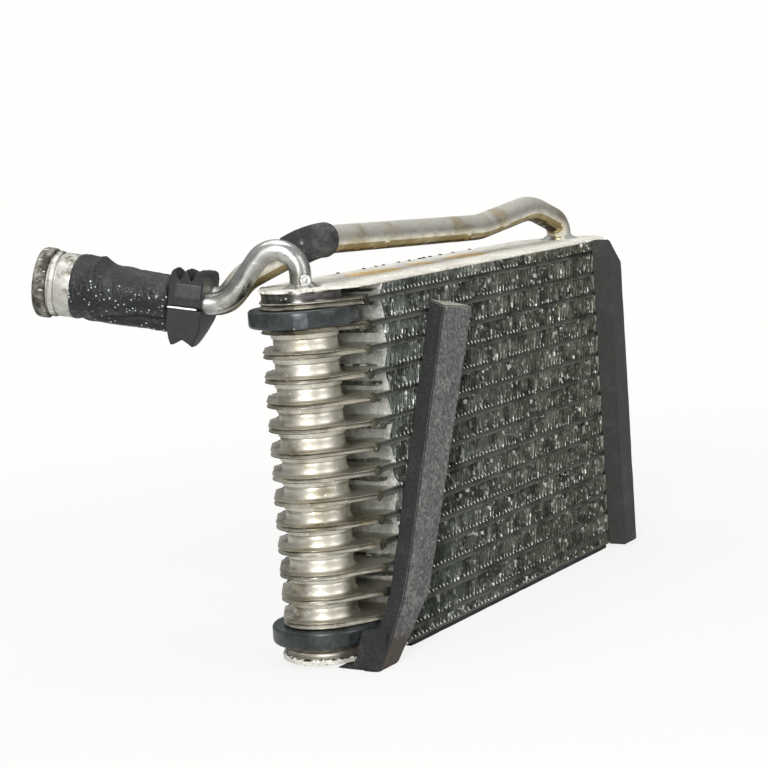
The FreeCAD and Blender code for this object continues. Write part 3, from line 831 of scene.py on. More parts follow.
def bent(x, y, z, seed):
    """Shift of a point near the front or back edge: bent and crushed fins."""
    to_edge = half_depth - abs(y)
    loose = max(0.0, 1 - to_edge / loose_depth) ** 1.5
    lean = 0.9 * wobble((x, y, z), 160, seed) + 0.6 * wobble((x, 0, z), 45, seed)
    burr = 1.1 * wobble((x, 0, z), 330, seed + 9) if to_edge < burr_depth else 0.0
    push = 0.0
    if y < 0:
        for centre_x, centre_z, size in crushed:
            gap = math.hypot(x - centre_x * MM, z - centre_z * MM) / (size * MM)
            push += max(0.0, 1 - gap * gap)
    lean += 1.4 * push * wobble((x, y, z), 500, seed) + burr
    inward = math.copysign(1, -y) * (0.9 * push + 0.25 * abs(wobble((x, 1, z), 300, seed)))
    return Vector((lean, inward, 0.25 * push * wobble((x, y, z), 600))) * MM * loose


print("crushed places:", len(crushed))

# %% [markdown]
# Where a lower crest has been nicked and turned forward it shows as a small bright facet.
# Nicks are rarer towards the right end of the core. They stand just in front of the fold.

# %% Fins: nicked crests
nick_proud = 0.25 * MM


def crest_nick(x, y_edge, level, seed):
    """Small curled facet at a crest, and its faces."""
    side = math.copysign(1, y_edge)
    wide = (0.55 + 0.40 * wobble((x, 0, level), 900, seed)) * MM
    tall = (1.7 + 1.5 * wobble((x, 1, level), 900, seed)) * MM
    lines = []
    for rise, depth in ((0.1, 0.0), (0.5, 0.25), (1.0, 0.75)):
        z = level + 0.1 * MM + rise * tall
        y = y_edge - side * depth * MM
        lines.append([Vector((x - wide, y, z)), Vector((x + wide * (1 - 0.5 * rise), y, z + 0.2 * MM))])
    return lines, skin(lines, closed=False)


def nicked(x, level):
    """Whether the crest at this place is nicked."""
    rarer = 0.5 * clamp((x + 40 * MM) / (110 * MM), 0.0, 1.0)
    return wobble((x, 0, level), 800, 3.0) > rarer - 0.30


# %% Fins: rows
for index, (low, high) in enumerate(row_boxes):
    waves = round((high.x - low.x) / fin_wave)
    offset = 0.25 * index
    rings = []
    for y in depth_lines:
        line = []
        for k in range(waves * fold_steps + 1):
            crest = fold_level(k / fold_steps + offset)
            x = low.x + (high.x - low.x) * k / (waves * fold_steps)
            z = low.z + (high.z - low.z) * crest
            point = Vector((x, y * MM, z)) + bent(x, y * MM, z, index)
            point.x = clamp(point.x, low.x, high.x)
            if abs(y) > outermost and 0 < index < len(row_boxes) - 1:
                point.z += fringe * (2 * crest - 1)
            line.append(point)
        rings.append(line)
    parts = [(rings, skin(rings, closed=False))]
    sheet_faces = len(parts[0][1])
    for k in range(1, waves):
        x = low.x + (high.x - low.x) * (k - offset % 1.0) / waves
        if nicked(x, low.z) and low.x + MM < x < high.x - MM:
            parts.append(crest_nick(x, -half_depth - nick_proud, low.z, index))
            parts.append(crest_nick(x, half_depth + nick_proud, low.z, index + 20))
    verts, faces = merge(parts)
    strip = make_piece(row_names[index] + "_folded", verts, faces, (fin_metal, bright_metal), 60)
    for polygon in strip.data.polygons[sheet_faces:]:
        polygon.material_index = 1
    dress(strip, "fin_aluminium", row_names[index])
print("fin rows folded:", len(row_boxes), "waves each:", waves)

# %% [markdown]
# At each end of a row the strip is cut off in a flat leg. Its front corner is often folded
# over by handling, and catches the light as a bright triangle. Every third row is folded
# over at its lower corner, the others at the upper one.

# %% Fin ends
leg_depths = (-1.0, -0.95, -0.90, -0.84, -0.77, -0.6, -0.2, 0.3, 0.8, 1.0)
leg_heights = (0.0, 0.25, 0.5, 0.75, 1.0)
top_gap = 1.5 * MM
for index, (low, high) in enumerate(row_boxes):
    folded_low = index % 3 == 0
    parts = []
    for side, x in ((-1, low.x), (1, high.x)):
        rings = []
        for y_share in leg_depths:
            line = []
            for z_share in leg_heights:
                y = y_share * (half_depth - 0.6 * MM)
                gap = top_gap * z_share * min(1.0, (y_share + 1) / 0.45)
                z = low.z + z_share * (high.z - low.z) - gap
                fold = max(0.0, (-y_share - 0.78) / 0.22) * (1 - z_share if folded_low else z_share)
                ripple = 0.25 * wobble((x, y, z), 130, index)
                inward = side * (0.35 + 0.5 * z_share - 2.2 * fold - ripple) * MM
                line.append(Vector((x - inward, y + fold * 1.1 * MM, z)))
            rings.append(line)
        parts.append((rings, skin(rings, closed=False)))
    verts, faces = merge(parts)

    def corner_finish(centre, normal):
        """The folded front corner is bare and bright."""
        along = (centre.z - low.z) / (high.z - low.z)
        if folded_low:
            along = 1 - along
        return int(-centre.y > half_depth * (0.97 - 0.20 * along))

    ends = make_piece(row_names[index] + "_cut_ends", verts, faces, (end_metal, bright_metal), 30,
                      corner_finish)
    dress(ends, "fin_aluminium")
print("cut ends made:", 2 * len(row_boxes))

# %% [markdown]
# The side plates are flat sheets. Their surface is laid as lines across the plate at many
# places along it, so it can carry dents, and their edges are eaten by corrosion near the
# left tank. A subdivided outline would need far more points for the same ragged edge.

# %% Side plates: sheet with an eaten edge
stations_half, line_half = 80, 6


def half_width(x, radius, depth):
    """Half of the plate's width at a place along it."""
    wide_x, touch_x, _ = taper_ends(radius, depth)
    reach = abs(x)
    if reach <= wide_x:
        return depth
    if reach <= touch_x:
        return depth - (reach - wide_x) * math.tan(plate_taper)
    return math.sqrt(max(0.0, radius ** 2 - (reach - tank_x) ** 2))


def eaten_point(x, share, width, inset, ragged, seed):
    """Point of a plate, pulled in from its edge by corrosion. share is -1 and 1 at the edges."""
    at_edge = Vector((x, math.copysign(width, share), 0))
    bite = max(0.0, wobble(at_edge, 210, seed)) + 0.7 * max(0.0, wobble(at_edge, 520, seed))
    worn = ragged * (1 if x < -half_length else 0.25) * bite * abs(share) ** 6
    point = Vector((x, share * max(0.0, width - inset * MM), 0))
    if x < -half_length:
        centre = Vector((-tank_x, 0, 0))
        point -= (point - centre).normalized() * worn * MM
    else:
        point.y *= 1 - worn * MM / half_depth
    return point


def sheet_plate(name, low_z, high_z, ragged, seed, radius):
    """Plate between two levels, with a rounded edge that is eaten away at the left end."""
    stations = []
    for k in range(2 * stations_half + 1):
        stations.append((tank_x + radius) * math.sin(math.pi / 2 * (k / stations_half - 1)) * 0.9995)
    layers = ((low_z, 0.5), (low_z + 0.2 * MM, 0.1), ((low_z + high_z) / 2, 0.0),
              (high_z - 0.2 * MM, 0.1), (high_z, 0.5))
    surfaces = []
    for z, inset in layers:
        lines = []
        for x in stations:
            width = half_width(x, radius, half_depth)
            line = []
            for k in range(2 * line_half + 1):
                share = math.sin(math.pi / 2 * (k / line_half - 1))
                point = eaten_point(x, share, width, inset, ragged, seed)
                dent = 0.25 * MM * wobble((x, share * max(0.0, width - inset * MM), 0), 28, seed)
                point.z = z + min(0.0, dent)
                line.append(point)
            lines.append(line)
        surfaces.append(lines)
    parts = [(lines, skin(lines, closed=False)) for lines in (surfaces[0], surfaces[-1])]
    rim = [[line[0] for line in lines] + [line[-1] for line in reversed(lines)] for lines in surfaces]
    parts.append((rim, skin(rim)))
    verts, faces = merge(parts)
    return make_piece(name, verts, faces, (plate_metal,), 45)


# %% Side plates: upper and lower
top_plate = sheet_plate("top_side_plate_dressed", top_low.z, top_high.z, 6.5, 3.0, flange_radius)
dress(top_plate, "plate_aluminium", "top_side_plate")
sheet_top = row_boxes[0][0].z - fin_clearance
bottom_plate = sheet_plate("bottom_side_plate_dressed", bottom_low.z, sheet_top, 1.4, 8.0, lower_end_radius)
dress(bottom_plate, "plate_aluminium", "bottom_side_plate")
# Dust and painted shade: the lower plate's front edge gets the same darker metal, for the shaded band along
# it.
bottom_plate.data.materials.append(dusty_shaded_tube_edge)
for polygon in bottom_plate.data.polygons:
    if abs(polygon.center.y) > half_depth - 0.6 * MM and abs(polygon.center.x) < half_length:
        polygon.material_index = 1
print("lower sheet:", round((sheet_top - bottom_low.z) / MM, 2), "mm thick")

# %% [markdown]
# Along the rear edge of the upper plate small dark lumps of old glue are left. Each is a low
# pebble, a ring of points pulled in towards its top, with its place along X and its length.

# %% Old glue on the rear edge
glue_lumps = ((-77, 1.3), (-48, 1.0), (-34, 0.8), (-25, 0.9), (-7, 1.4), (6, 1.0), (19, 1.6), (24, 2.0),
              (32, 1.9), (45, 1.5), (62, 1.2), (84, 0.9))
glue_line = 31.0
glue_width = 1.1
parts = []
for x, long in glue_lumps:
    rings = []
    for shrink, rise in ((1.0, -0.1), (1.05, 0.2), (0.8, 0.45), (0.3, 0.6)):
        ring = []
        for k in range(12):
            angle = math.pi / 6 * k
            y = glue_line + glue_width * shrink * math.sin(angle)
            p = Vector((x + long * shrink * math.cos(angle), y, rise)) * MM
            p += Vector((0.3, 0.15, 0.15)) * MM * wobble(p, 900, x)
            ring.append(p + Vector((0, 0, top_high.z)))
        rings.append(ring)
    parts.append((rings, skin(rings, caps="last")))
verts, faces = merge(parts)
dress(make_piece("rear_edge_glue", verts, faces, (tape_black,), 60), "plate_aluminium")
print("glue lumps:", len(glue_lumps))

# %% [markdown]
# The lower plate has a turned-up rim round each tank end, white and crumbling at the left.
# It is a low wall whose height and thickness are shaken by noise, eaten black on its upper
# part.

# %% Rim of the lower plate
rim_wall = 2.2 * MM
rim_height = bottom_high.z - sheet_top
rim_section = ((0.0, 0.0), (0.0, 0.5), (0.3, 1.0), (0.8, 1.0), (1.2, 0.5), (1.5, 0.0))
rim_sweep = math.radians(99)
rim_half = 30


def rim_finish(centre, normal):
    """The upper part of the rim is the eaten one."""
    return int(centre.z > sheet_top + 0.4 * rim_height)


for name, side, crumble in (("bottom_plate_rim_left", -1, 1.0), ("bottom_plate_rim_right", 1, 0.35)):
    rings = []
    for inset, rise in rim_section:
        radius = lower_end_radius - inset * rim_wall
        ring = []
        for k in range(2 * rim_half + 1):
            angle = -rim_sweep * (k / rim_half - 1)
            x = side * (tank_x + radius * math.cos(angle))
            y = radius * math.sin(angle)
            rough = crumble * (0.55 * wobble((x, y, 0), 260, side) + 0.35 * wobble((x, y, 0), 700, side))
            z = min(bottom_high.z, sheet_top + rise * rim_height * (1 + 0.7 * rough))
            ring.append(Vector((x - side * rough * 0.3 * MM * rise, y, z)))
        rings.append(ring)
    rim = ring_piece(name, rings, (plate_metal, rim_metal), 50, closed=False, pick=rim_finish)
    dress(rim, "plate_aluminium")
print("rim height:", round(rim_height / MM, 2), "mm")

# %% [markdown]
# The rubber rings are squeezed over the left tank. Their outer face is a broad soft band with
# rounded shoulders, pinched unevenly, and a shallow groove runs round it above the middle.
# One place on the upper ring is painted paler and glossier, a painted reflection of a lamp.

# %% Rubber rings
ring_bore = 19.6 * MM
ring_corner = 1.9 * MM
groove_at, groove_width, groove_depth = 0.62, 0.004, 0.9


def ring_profile(low, high, outer):
    """Closed profile of a squeezed band: flat inside, rounded outside."""
    points = [(ring_bore, low + 0.6 * MM)]
    for level, turns in ((low + ring_corner, (-4, -3, -2, -1, 0)), (high - ring_corner, (0, 1, 2, 3, 4))):
        for turn in turns:
            angle = math.pi / 8 * turn
            points.append((outer - ring_corner + ring_corner * math.cos(angle),
                           level + ring_corner * math.sin(angle)))
    points.append((ring_bore, high - 0.6 * MM))
    return points


for name, seed in (("lower_tank_ring", 4.0), ("upper_tank_ring", 9.0)):
    low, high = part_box(name)
    outer = (high.x - low.x) / 2
    rings = []
    for radius, z in ring_profile(low.z, high.z, outer):
        on_face = radius > 0.8 * outer
        ring = circle_ring(radius, z, (-tank_x, 0), 96)
        for p in ring:
            if on_face:
                away = Vector((p.x + tank_x, p.y, 0))
                level = (p.z - low.z) / (high.z - low.z)
                pinch = min(0.0, 0.6 * wobble(away, 38, seed))
                pinch -= groove_depth * math.exp(-(level - groove_at) ** 2 / groove_width)
                p += away.normalized() * pinch * MM
                p.z += 0.25 * MM * wobble(away, 50, seed)
            p.z = clamp(p.z, low.z, high.z)
        rings.append(ring)
    rings.append(rings[0])

    def painted_reflection_spot(centre, normal):
        """One place at the front of the upper ring carries a painted reflection."""
        bearing = math.degrees(math.atan2(centre.y, centre.x + tank_x)) % 360
        return int(name == "upper_tank_ring" and 201 < bearing < 217 and centre.z < high.z - 1.4 * MM)

    band = ring_piece(name + "_dressed", rings, (ring_rubber, ring_painted_reflection), 60, pick=painted_reflection_spot)
    dress(band, "ring_rubber", name)
    print(name, "radius:", round(outer / MM, 1), "mm")

# %% [markdown]
# Both pipes follow the same routes as their solids: straight runs joined by bends of a known
# radius. The route's corner points are worked out from the sizes of the core. Behind the core
# both pipes run side by side, turned a little to the left and rising a little.

# %% Pipe routes: directions
pipe_heading = math.radians(22)
pipe_rise = math.radians(10)
pipe_spacing = 17 * MM
inlet_radius = 6 * MM
outlet_radius = 8 * MM
run_level = top_high.z - 6.1 * MM
rear_edge = half_depth / math.cos(pipe_heading)
tilt_start = rear_edge + 15.7 * MM
ahead = Vector((-math.sin(pipe_heading), math.cos(pipe_heading), 0))
across = Vector((math.cos(pipe_heading), math.sin(pipe_heading), 0))
tilted = ahead * math.cos(pipe_rise) + Vector((0, 0, math.sin(pipe_rise)))
above = across.cross(tilted)


def run_point(distance, side, z):
    """Point at a level, along and across the level stretch from the left tank."""
    return Vector((-tank_x, 0, z)) + ahead * distance + across * side


def run_height(distance):
    """Level of the tilted stretch at a distance from the left tank."""
    return run_level + (distance - tilt_start) * math.tan(pipe_rise)


def tilted_point(distance, side, rise=0.0):
    """Point of the tilted stretch: along it, across it, and away from both."""
    return run_point(tilt_start, side, run_level) + tilted * distance + above * rise


print("tilted stretch starts", round(tilt_start / MM, 1), "mm behind the tank's middle")

# %% Pipe routes: what sits on the tilted stretch
grommet_start = 2 * MM
wrap_start, wrap_length = 21.9 * MM, 53.6 * MM
connector_start, connector_length = 75.9 * MM, 22.6 * MM
port_depth = 7 * MM
pipe_end = connector_start + connector_length - port_depth
block_side = (pipe_spacing + outlet_radius - inlet_radius) / 2
print("pipes end", round(pipe_end / MM, 1), "mm along it")

# %% Pipe routes: narrow pipe
gooseneck_top = top_high.z + 21 * MM
gooseneck_fall = math.radians(51.4)
gooseneck_over = flange_radius - 4.2 * MM
gooseneck_bend = gooseneck_over / (1 + math.tan(gooseneck_fall / 2))
gooseneck_closing = math.tan(gooseneck_fall) + math.tan(pipe_rise)
gooseneck_down = (gooseneck_top - run_height(gooseneck_over)) / gooseneck_closing
gooseneck_down += gooseneck_over
inlet_corners = [
    run_point(0, 0, top_low.z),
    run_point(0, 0, gooseneck_top),
    run_point(gooseneck_over, 0, gooseneck_top),
    run_point(gooseneck_down, 0, run_height(gooseneck_down)),
    tilted_point(pipe_end, 0),
]
inlet_bends = [gooseneck_bend, gooseneck_bend, 20 * MM]
print("gooseneck bend radius:", round(gooseneck_bend / MM, 1), "mm")

# %% Pipe routes: wide pipe
outlet_foot = Vector((tank_x - 3 * MM, 3 * MM, top_low.z))
outlet_corner = run_point(-3.3 * MM, 24.3 * MM, top_high.z + 23.6 * MM)
descent_end = rear_edge + 10.5 * MM


def over_core(back, rise):
    """Point over the core, measured back from the outlet foot."""
    share = back / (outlet_foot.x - outlet_corner.x)
    y = outlet_foot.y + share * (outlet_corner.y - outlet_foot.y)
    return Vector((outlet_foot.x - back, y, top_high.z + rise))


outlet_corners = [
    outlet_foot,
    over_core(0, 11 * MM),
    over_core(40.3 * MM, 24.4 * MM),
    over_core(111.9 * MM, 16.4 * MM),
    outlet_corner,
    run_point(rear_edge - 1.5 * MM, pipe_spacing, top_high.z + outlet_radius - 1.8 * MM),
    run_point(descent_end, pipe_spacing, run_height(descent_end)),
    tilted_point(pipe_end, pipe_spacing),
]
outlet_bends = [12 * MM, 60 * MM, 80 * MM, 20 * MM, 24 * MM, 12 * MM]
print("bends:", len(inlet_bends), "and", len(outlet_bends))

# %% [markdown]
# A bent pipe could be a curve with a bevel. Here its route is sampled along runs and arcs,
# and circles are laid on it, so that the wall can be dented and both ends are ours to shape.
# The circles' own direction is carried along the path, which keeps the tube from twisting.

# %% Helper: sample a route
def sampled(corners, bends, step=1.6 * MM):
    """Points along straight runs and tangent arcs, about one step apart on the arcs."""
    points = []
    start = corners[0]
    for before, corner, after, radius in zip(corners, corners[1:], corners[2:], bends):
        back = (before - corner).normalized()
        on = (after - corner).normalized()
        half = back.angle(on) / 2
        reach = radius / math.tan(half)
        first = corner + back * reach
        centre = corner + (back + on).normalized() * (radius / math.sin(half))
        count = max(1, round((first - start).length / (3 * step)))
        points += [start.lerp(first, k / count) for k in range(count)]
        turn = math.pi - 2 * half
        arm = first - centre
        axis = arm.cross(corner + on * reach - centre).normalized()
        bend_count = max(3, round(radius * turn / step))
        for k in range(bend_count):
            angle = turn * k / bend_count
            points.append(centre + arm * math.cos(angle) + axis.cross(arm) * math.sin(angle))
        start = corner + on * reach
    count = max(1, round((corners[-1] - start).length / (3 * step)))
    points += [start.lerp(corners[-1], k / count) for k in range(count + 1)]
    return points


print("points on the narrow pipe:", len(sampled(inlet_corners, inlet_bends)))


# %% Helper: lay a tube along a path
def tube_rings(path, radius, steps=32, shape=None):
    """Circles along a path. shape(share, point) may change the radius."""
    rings = []
    side = (path[1] - path[0]).normalized().orthogonal().normalized()
    for k, point in enumerate(path):
        ahead_point = path[min(k + 1, len(path) - 1)]
        behind_point = path[max(k - 1, 0)]
        tangent = (ahead_point - behind_point).normalized()
        side = (side - tangent * side.dot(tangent)).normalized()
        other = tangent.cross(side)
        ring = []
        for angle in full_turn(steps):
            away = side * math.cos(angle) + other * math.sin(angle)
            size = radius * (shape(k / (len(path) - 1), point + away * radius) if shape else 1)
            ring.append(point + away * size)
        rings.append(ring)
    return rings


def dented(share, place):
    """Slightly uneven pipe."""
    return 1 - 0.018 * abs(wobble(place, 45, 1.0)) - 0.006 * abs(wobble(place, 220, 2.0))


# %% Pipes
pipe_wall = 1.3 * MM
bare_side, low_side_shade, underside_shade = range(3)
for name, corners, bends, radius, material in (
        ("inlet_pipe", inlet_corners, inlet_bends, inlet_radius, inlet_metal),
        ("outlet_pipe", outlet_corners, outlet_bends, outlet_radius, outlet_metal)):
    path = sampled(corners, bends)
    outer = tube_rings(path, radius, 40, dented)
    inner = tube_rings(path[-12:], radius - pipe_wall, 40)

    def pipe_zone(centre, normal):
        """The wide pipe is painted tan low on its sides and dark underneath, as painted shade, with an uneven
        edge.
        """
        # Painted shade: faces turned downwards get the tan, then the dark material.
        level = normal.z + 0.12 * wobble(centre, 60, 4.0)
        if name == "inlet_pipe" or level > -0.42:
            return bare_side
        return low_side_shade if level > -0.80 else underside_shade

    pipe = ring_piece(name + "_dressed", outer + inner[::-1], (material, outlet_painted_half_shade, outlet_painted_shade), 60,
                      pick=pipe_zone)
    dress(pipe, name + "_aluminium", name)
    length = sum((b - a).length for a, b in zip(path, path[1:]))
    print(name, "length", round(length / MM), "mm")

# %% [markdown]
# Braze metal has run into a lumpy fillet at each pipe's foot. At the narrow pipe a drop has
# set as a round bead on the side that faces the camera.

# %% Braze fillets
fillet_profile = ((4.6, 0.0), (3.4, 0.5), (2.2, 0.9), (1.2, 1.6), (0.5, 2.4), (-0.2, 2.5))


def braze(node, foot, radius, seed):
    """Fillet round a pipe's foot, a turned profile swollen by noise."""
    rings = []
    for out, rise in fillet_profile:
        ring = []
        for p in circle_ring(radius + out * MM, top_high.z, foot, 56):
            away = Vector((p.x - foot[0], p.y - foot[1], 0)).normalized()
            lump = 1 + 0.55 * wobble(away * 0.01, 260, seed)
            reach = radius + out * MM * lump
            z = top_high.z - 0.1 * MM + rise * MM * (0.8 + 0.25 * lump)
            ring.append(Vector((foot[0] + away.x * reach, foot[1] + away.y * reach, z)))
        rings.append(ring)
    dress(ring_piece(node + "_dressed", rings, (braze_metal,), 70), "braze_metal", node)


braze("inlet_braze_ring", (-tank_x, 0), inlet_radius, 2.0)
braze("outlet_braze_ring", (outlet_foot.x, outlet_foot.y), outlet_radius, 5.0)
print("fillet width:", fillet_profile[0][0], "mm")

# %% Braze bead
bead_profile = ((3.3, -1.4), (3.2, 0.2), (2.7, 0.9), (2.1, 0.75), (1.6, 0.4), (1.1, 0.8), (0.5, 1.15),
                (0.05, 1.2))
bead_centre = Vector((-tank_x - 4.0 * MM, -5.6 * MM, top_high.z + 4.2 * MM))
bead_axis = Vector((-0.55, -0.8, 0.25)).normalized()
bead_side = bead_axis.orthogonal().normalized()
bead_up = bead_axis.cross(bead_side)
rings = []
for radius, rise in bead_profile:
    ring = []
    for angle in full_turn(32):
        spread = bead_side * math.cos(angle) + bead_up * math.sin(angle)
        ring.append(bead_centre + spread * radius * MM + bead_axis * rise * MM)
    rings.append(ring)
dress(ring_piece("inlet_braze_bead", rings, (braze_metal,), 70, caps="last"), "braze_metal")
print("bead across:", 2 * bead_profile[0][0], "mm")

# %% [markdown]
# The foam sleeve is a thin tube pushed round the corner of the wide pipe. It is a little
# lumpy, and has rounded cut ends. It is laid on its own short route with one wide bend.

# %% Foam sleeve
sleeve_before = outlet_corner + (outlet_corners[3] - outlet_corner).normalized() * 12.5 * MM
sleeve_after = outlet_corner + (outlet_corners[5] - outlet_corner).normalized() * 17.5 * MM
sleeve_path = sampled([sleeve_before, outlet_corner, sleeve_after], [20 * MM], 1.0 * MM)
sleeve_radius = 10.0 * MM
rounded_share = 0.03


def foam_swell(share, place):
    """Rounded ends and a soft, pitted surface."""
    end = min(share, 1 - share) / rounded_share
    rounded = 0.90 + 0.10 * math.sqrt(clamp(end, 0.0, 1.0))
    return rounded * (0.985 + 0.03 * wobble(place, 90, 3.0) + 0.012 * wobble(place, 400, 1.0))


outer = tube_rings(sleeve_path, sleeve_radius, 48, foam_swell)
inner = tube_rings(sleeve_path, outlet_radius + 0.15 * MM, 48)
sleeve = ring_piece("foam_sleeve_dressed", [inner[0]] + outer + [inner[-1]], (sleeve_foam,), 70)
dress(sleeve, "sleeve_foam", "foam_sleeve")
print("sleeve rings:", len(outer))

# %% [markdown]
# The grommet is a rubber block split in two. Its outside has deep pointed ridges that press
# into the housing, and a flat pad on the side. The outline along the pipe is a few points,
# carried across the block, with the ridges lower at the sides.

# %% Grommet halves
grommet_sag = 3 * MM
grommet_half = pipe_spacing / 2 + outlet_radius + 2.5 * MM
slice_half = 12
upper_petals = ((0.0, 15.0), (0.8, 18.4), (2.2, 19.9), (4.0, 20.8), (5.4, 18.8), (6.7, 15.0), (8.2, 18.2),
                (10.2, 21.3), (11.8, 18.6), (13.5, 15.2), (15.0, 18.0), (16.9, 21.2), (18.1, 20.4),
                (19.5, 15.0))
lower_petals = ((0.0, 10.5), (1.2, 15.4), (3.3, 21.2), (5.5, 19.7), (9.8, 17.4), (13.4, 19.8), (15.5, 21.3),
                (17.2, 17.4), (18.4, 12.6), (19.5, 11.0))


def block_point(x, y, z):
    """Point in the grommet's own directions: across, along and away from the pipes."""
    return tilted_point(grommet_start + y, block_side + x, z - grommet_sag)


for name, sign, petals in (("grommet_upper_half", 1, upper_petals), ("grommet_lower_half", -1, lower_petals)):
    rings = []
    for k in range(2 * slice_half + 1):
        share = -1 + k / slice_half
        x = grommet_half * share
        ring = [block_point(x * 0.985, 0.3 * MM, sign * 0.8 * MM)]
        for y, z in petals:
            rough = 0.3 * wobble((x, y * MM, z * MM), 200, sign)
            away = max(0.0, share + 0.4) ** 1.3
            bulge = 1.0 - 0.03 * abs(share) ** 7 - away * (0.30 * y / 19.5 if sign > 0 else 0.20)
            ring.append(block_point(x, (0.15 + y * 0.985) * MM, sign * (z * bulge + rough) * MM))
        ring.append(block_point(x * 0.985, 19.2 * MM, sign * 0.8 * MM))
        rings.append(ring if sign > 0 else ring[::-1])
    half = ring_piece(name + "_dressed", rings, (grommet_rubber,), 32, caps="both")
    dress(half, "grommet_rubber", name)
    bevel = half.modifiers.new("soft_edges", "BEVEL")
    bevel.width = 0.5 * MM
    bevel.segments = 2
    bevel.limit_method = "ANGLE"
    bevel.angle_limit = math.radians(35)
    print(name, "points along the pipe:", len(petals))

# %% [markdown]
# The flat side of the upper half carries a low raised pad, a little paler with dust. A thin
# bright metal strip in the slit between the halves is a painted highlight for the lit pipe inside.

# %% Grommet side pad and slit strip
slab_steps = ((0.0, -0.6), (0.0, 0.5), (0.18, 0.85), (0.5, 1.0))


def side_slab(name, y_low, y_high, z_low, z_high, proud, material, slot_name):
    """Low rounded slab on the block's left side, from a loop of points and a raised face."""
    rings = []
    for shrink, rise in slab_steps:
        cut = 1 - shrink * 0.5
        ring = []
        for angle in full_turn(24):
            share_y = clamp(1.35 * math.cos(angle), -1.0, 1.0) * cut
            share_z = clamp(1.35 * math.sin(angle), -1.0, 1.0) * cut
            y = (y_low + y_high) / 2 + share_y * (y_high - y_low) / 2
            z = (z_low + z_high) / 2 + share_z * (z_high - z_low) / 2
            ring.append(block_point(-grommet_half - rise * proud * MM, y * MM, z * MM))
        rings.append(ring)
    dress(ring_piece(name, rings, (material,), 40, caps="last"), slot_name)


side_slab("grommet_side_pad", 1.0, 15.6, 5.4, 13.4, 0.5, grommet_pad_rubber, "grommet_rubber")
# Painted highlight: this thin bright strip stands for light on the pipe inside the slit.
side_slab("grommet_slit_painted_highlight", 2.6, 19.0, -0.5, 0.5, 0.08, slit_painted_highlight, "connector_aluminium")
print("grommet width:", round(2 * grommet_half / MM, 1), "mm")

# %% [markdown]
# The tape is wound round both pipes. Between the grommet and the connector its section goes
# from a flat oval to nearly round. The surface has long creases along the pull, a raised
# collar near the connector, and a second, narrower fold that hangs underneath. A cloth
# simulation could fold it, but ovals shaken by noise give the same creases at each run.

# %% Helper: creased oval
def oval(distance, half_straight, radius, rise, creases, seed, steps=96):
    """Closed oval ring across the run, creased by noise."""
    ring = []
    for angle in full_turn(steps):
        flat = half_straight * clamp(2.2 * math.cos(angle), -1.0, 1.0)
        smooth = tilted_point(distance, block_side + flat + radius * math.cos(angle),
                              rise + radius * math.sin(angle))
        crease = creases * (wobble(smooth, 55, seed) + 0.45 * wobble(smooth, 140, seed)
                            + 0.22 * wobble(smooth, 420, seed))
        size = radius + crease * MM
        ring.append(tilted_point(distance, block_side + flat + size * math.cos(angle),
                                 rise + size * math.sin(angle)))
    return ring


def wrap_finish(centre, normal):
    """The side towards the front carries white specks painted as glints."""
    return int(normal.x < -0.45 and normal.z < 0.35)


# %% Tape wrap
wrap_line = ((0.0, 10.6), (0.03, 12.0), (0.2, 12.5), (0.4, 13.2), (0.6, 13.9), (0.69, 14.3), (0.75, 15.8),
             (0.80, 17.4), (0.86, 17.1), (0.93, 17.9), (0.97, 18.5), (1.0, 18.3))
wrap_end = ((17.9, 0.5), (17.2, 0.9), (16.4, 0.5))
wrap_count = 80
rings = []
for k in range(wrap_count + 1):
    share = k / wrap_count
    for (a, radius_a), (b, radius_b) in zip(wrap_line, wrap_line[1:]):
        if a <= share <= b:
            radius = radius_a + (radius_b - radius_a) * (share - a) / (b - a)
    straight = (6.9 - 2.2 * share ** 3) * MM
    calm = min(1.0, (1 - share) / 0.05)
    rings.append(oval(wrap_start + share * wrap_length, straight, (radius - 0.3) * MM, 0,
                      1.3 * calm + 0.2, 2.0))
for radius, y in wrap_end:
    rings.append(oval(wrap_start + wrap_length + y * MM, 4.6 * MM, radius * MM, 0, 0.2, 2.0))
wrap = ring_piece("tape_wrap_dressed", rings, (tape_black, tape_painted_glints), 50, caps="both", pick=wrap_finish)
dress(wrap, "black_tape", "tape_wrap")
print("wrap rings:", len(rings))

# %% Hanging fold of the tape
fold_count = 60
rings = []
for k in range(fold_count + 1):
    share = k / fold_count
    sag = (-12.9 + 1.5 * share) * MM
    radius = (6.4 - 1.2 * math.exp(-(share / 0.03) ** 2) - 2.0 * math.exp(-((1 - share) / 0.05) ** 2)) * MM
    rings.append(oval(wrap_start + share * wrap_length, 2.5 * MM, radius, sag, 1.0, 7.0, 64))
dress(ring_piece("tape_wrap_hanging_fold", rings, (tape_painted_glints,), 50, caps="both"), "black_tape")
print("fold rings:", len(rings))

# %% [markdown]
# The connector is turned aluminium: a smooth body, a bead between two grooves and a wider
# collar that has gone rough and dark. The profile is turned about the tilted axis.

# %% Connector
body_profile = ((17.0, -0.3), (17.6, 0.1), (17.8, 0.6), (17.8, 9.4), (17.6, 9.9), (16.8, 10.1), (16.8, 10.9),
                (17.9, 11.1), (18.35, 11.8), (18.4, 12.7), (18.35, 13.6), (17.9, 14.3), (16.8, 14.5),
                (16.8, 15.4))
collar_profile = ((16.6, 15.4), (18.9, 15.4), (19.4, 15.8), (19.6, 16.6), (19.6, 20.6), (19.2, 21.8),
                  (18.4, 22.5), (17.2, 22.6))


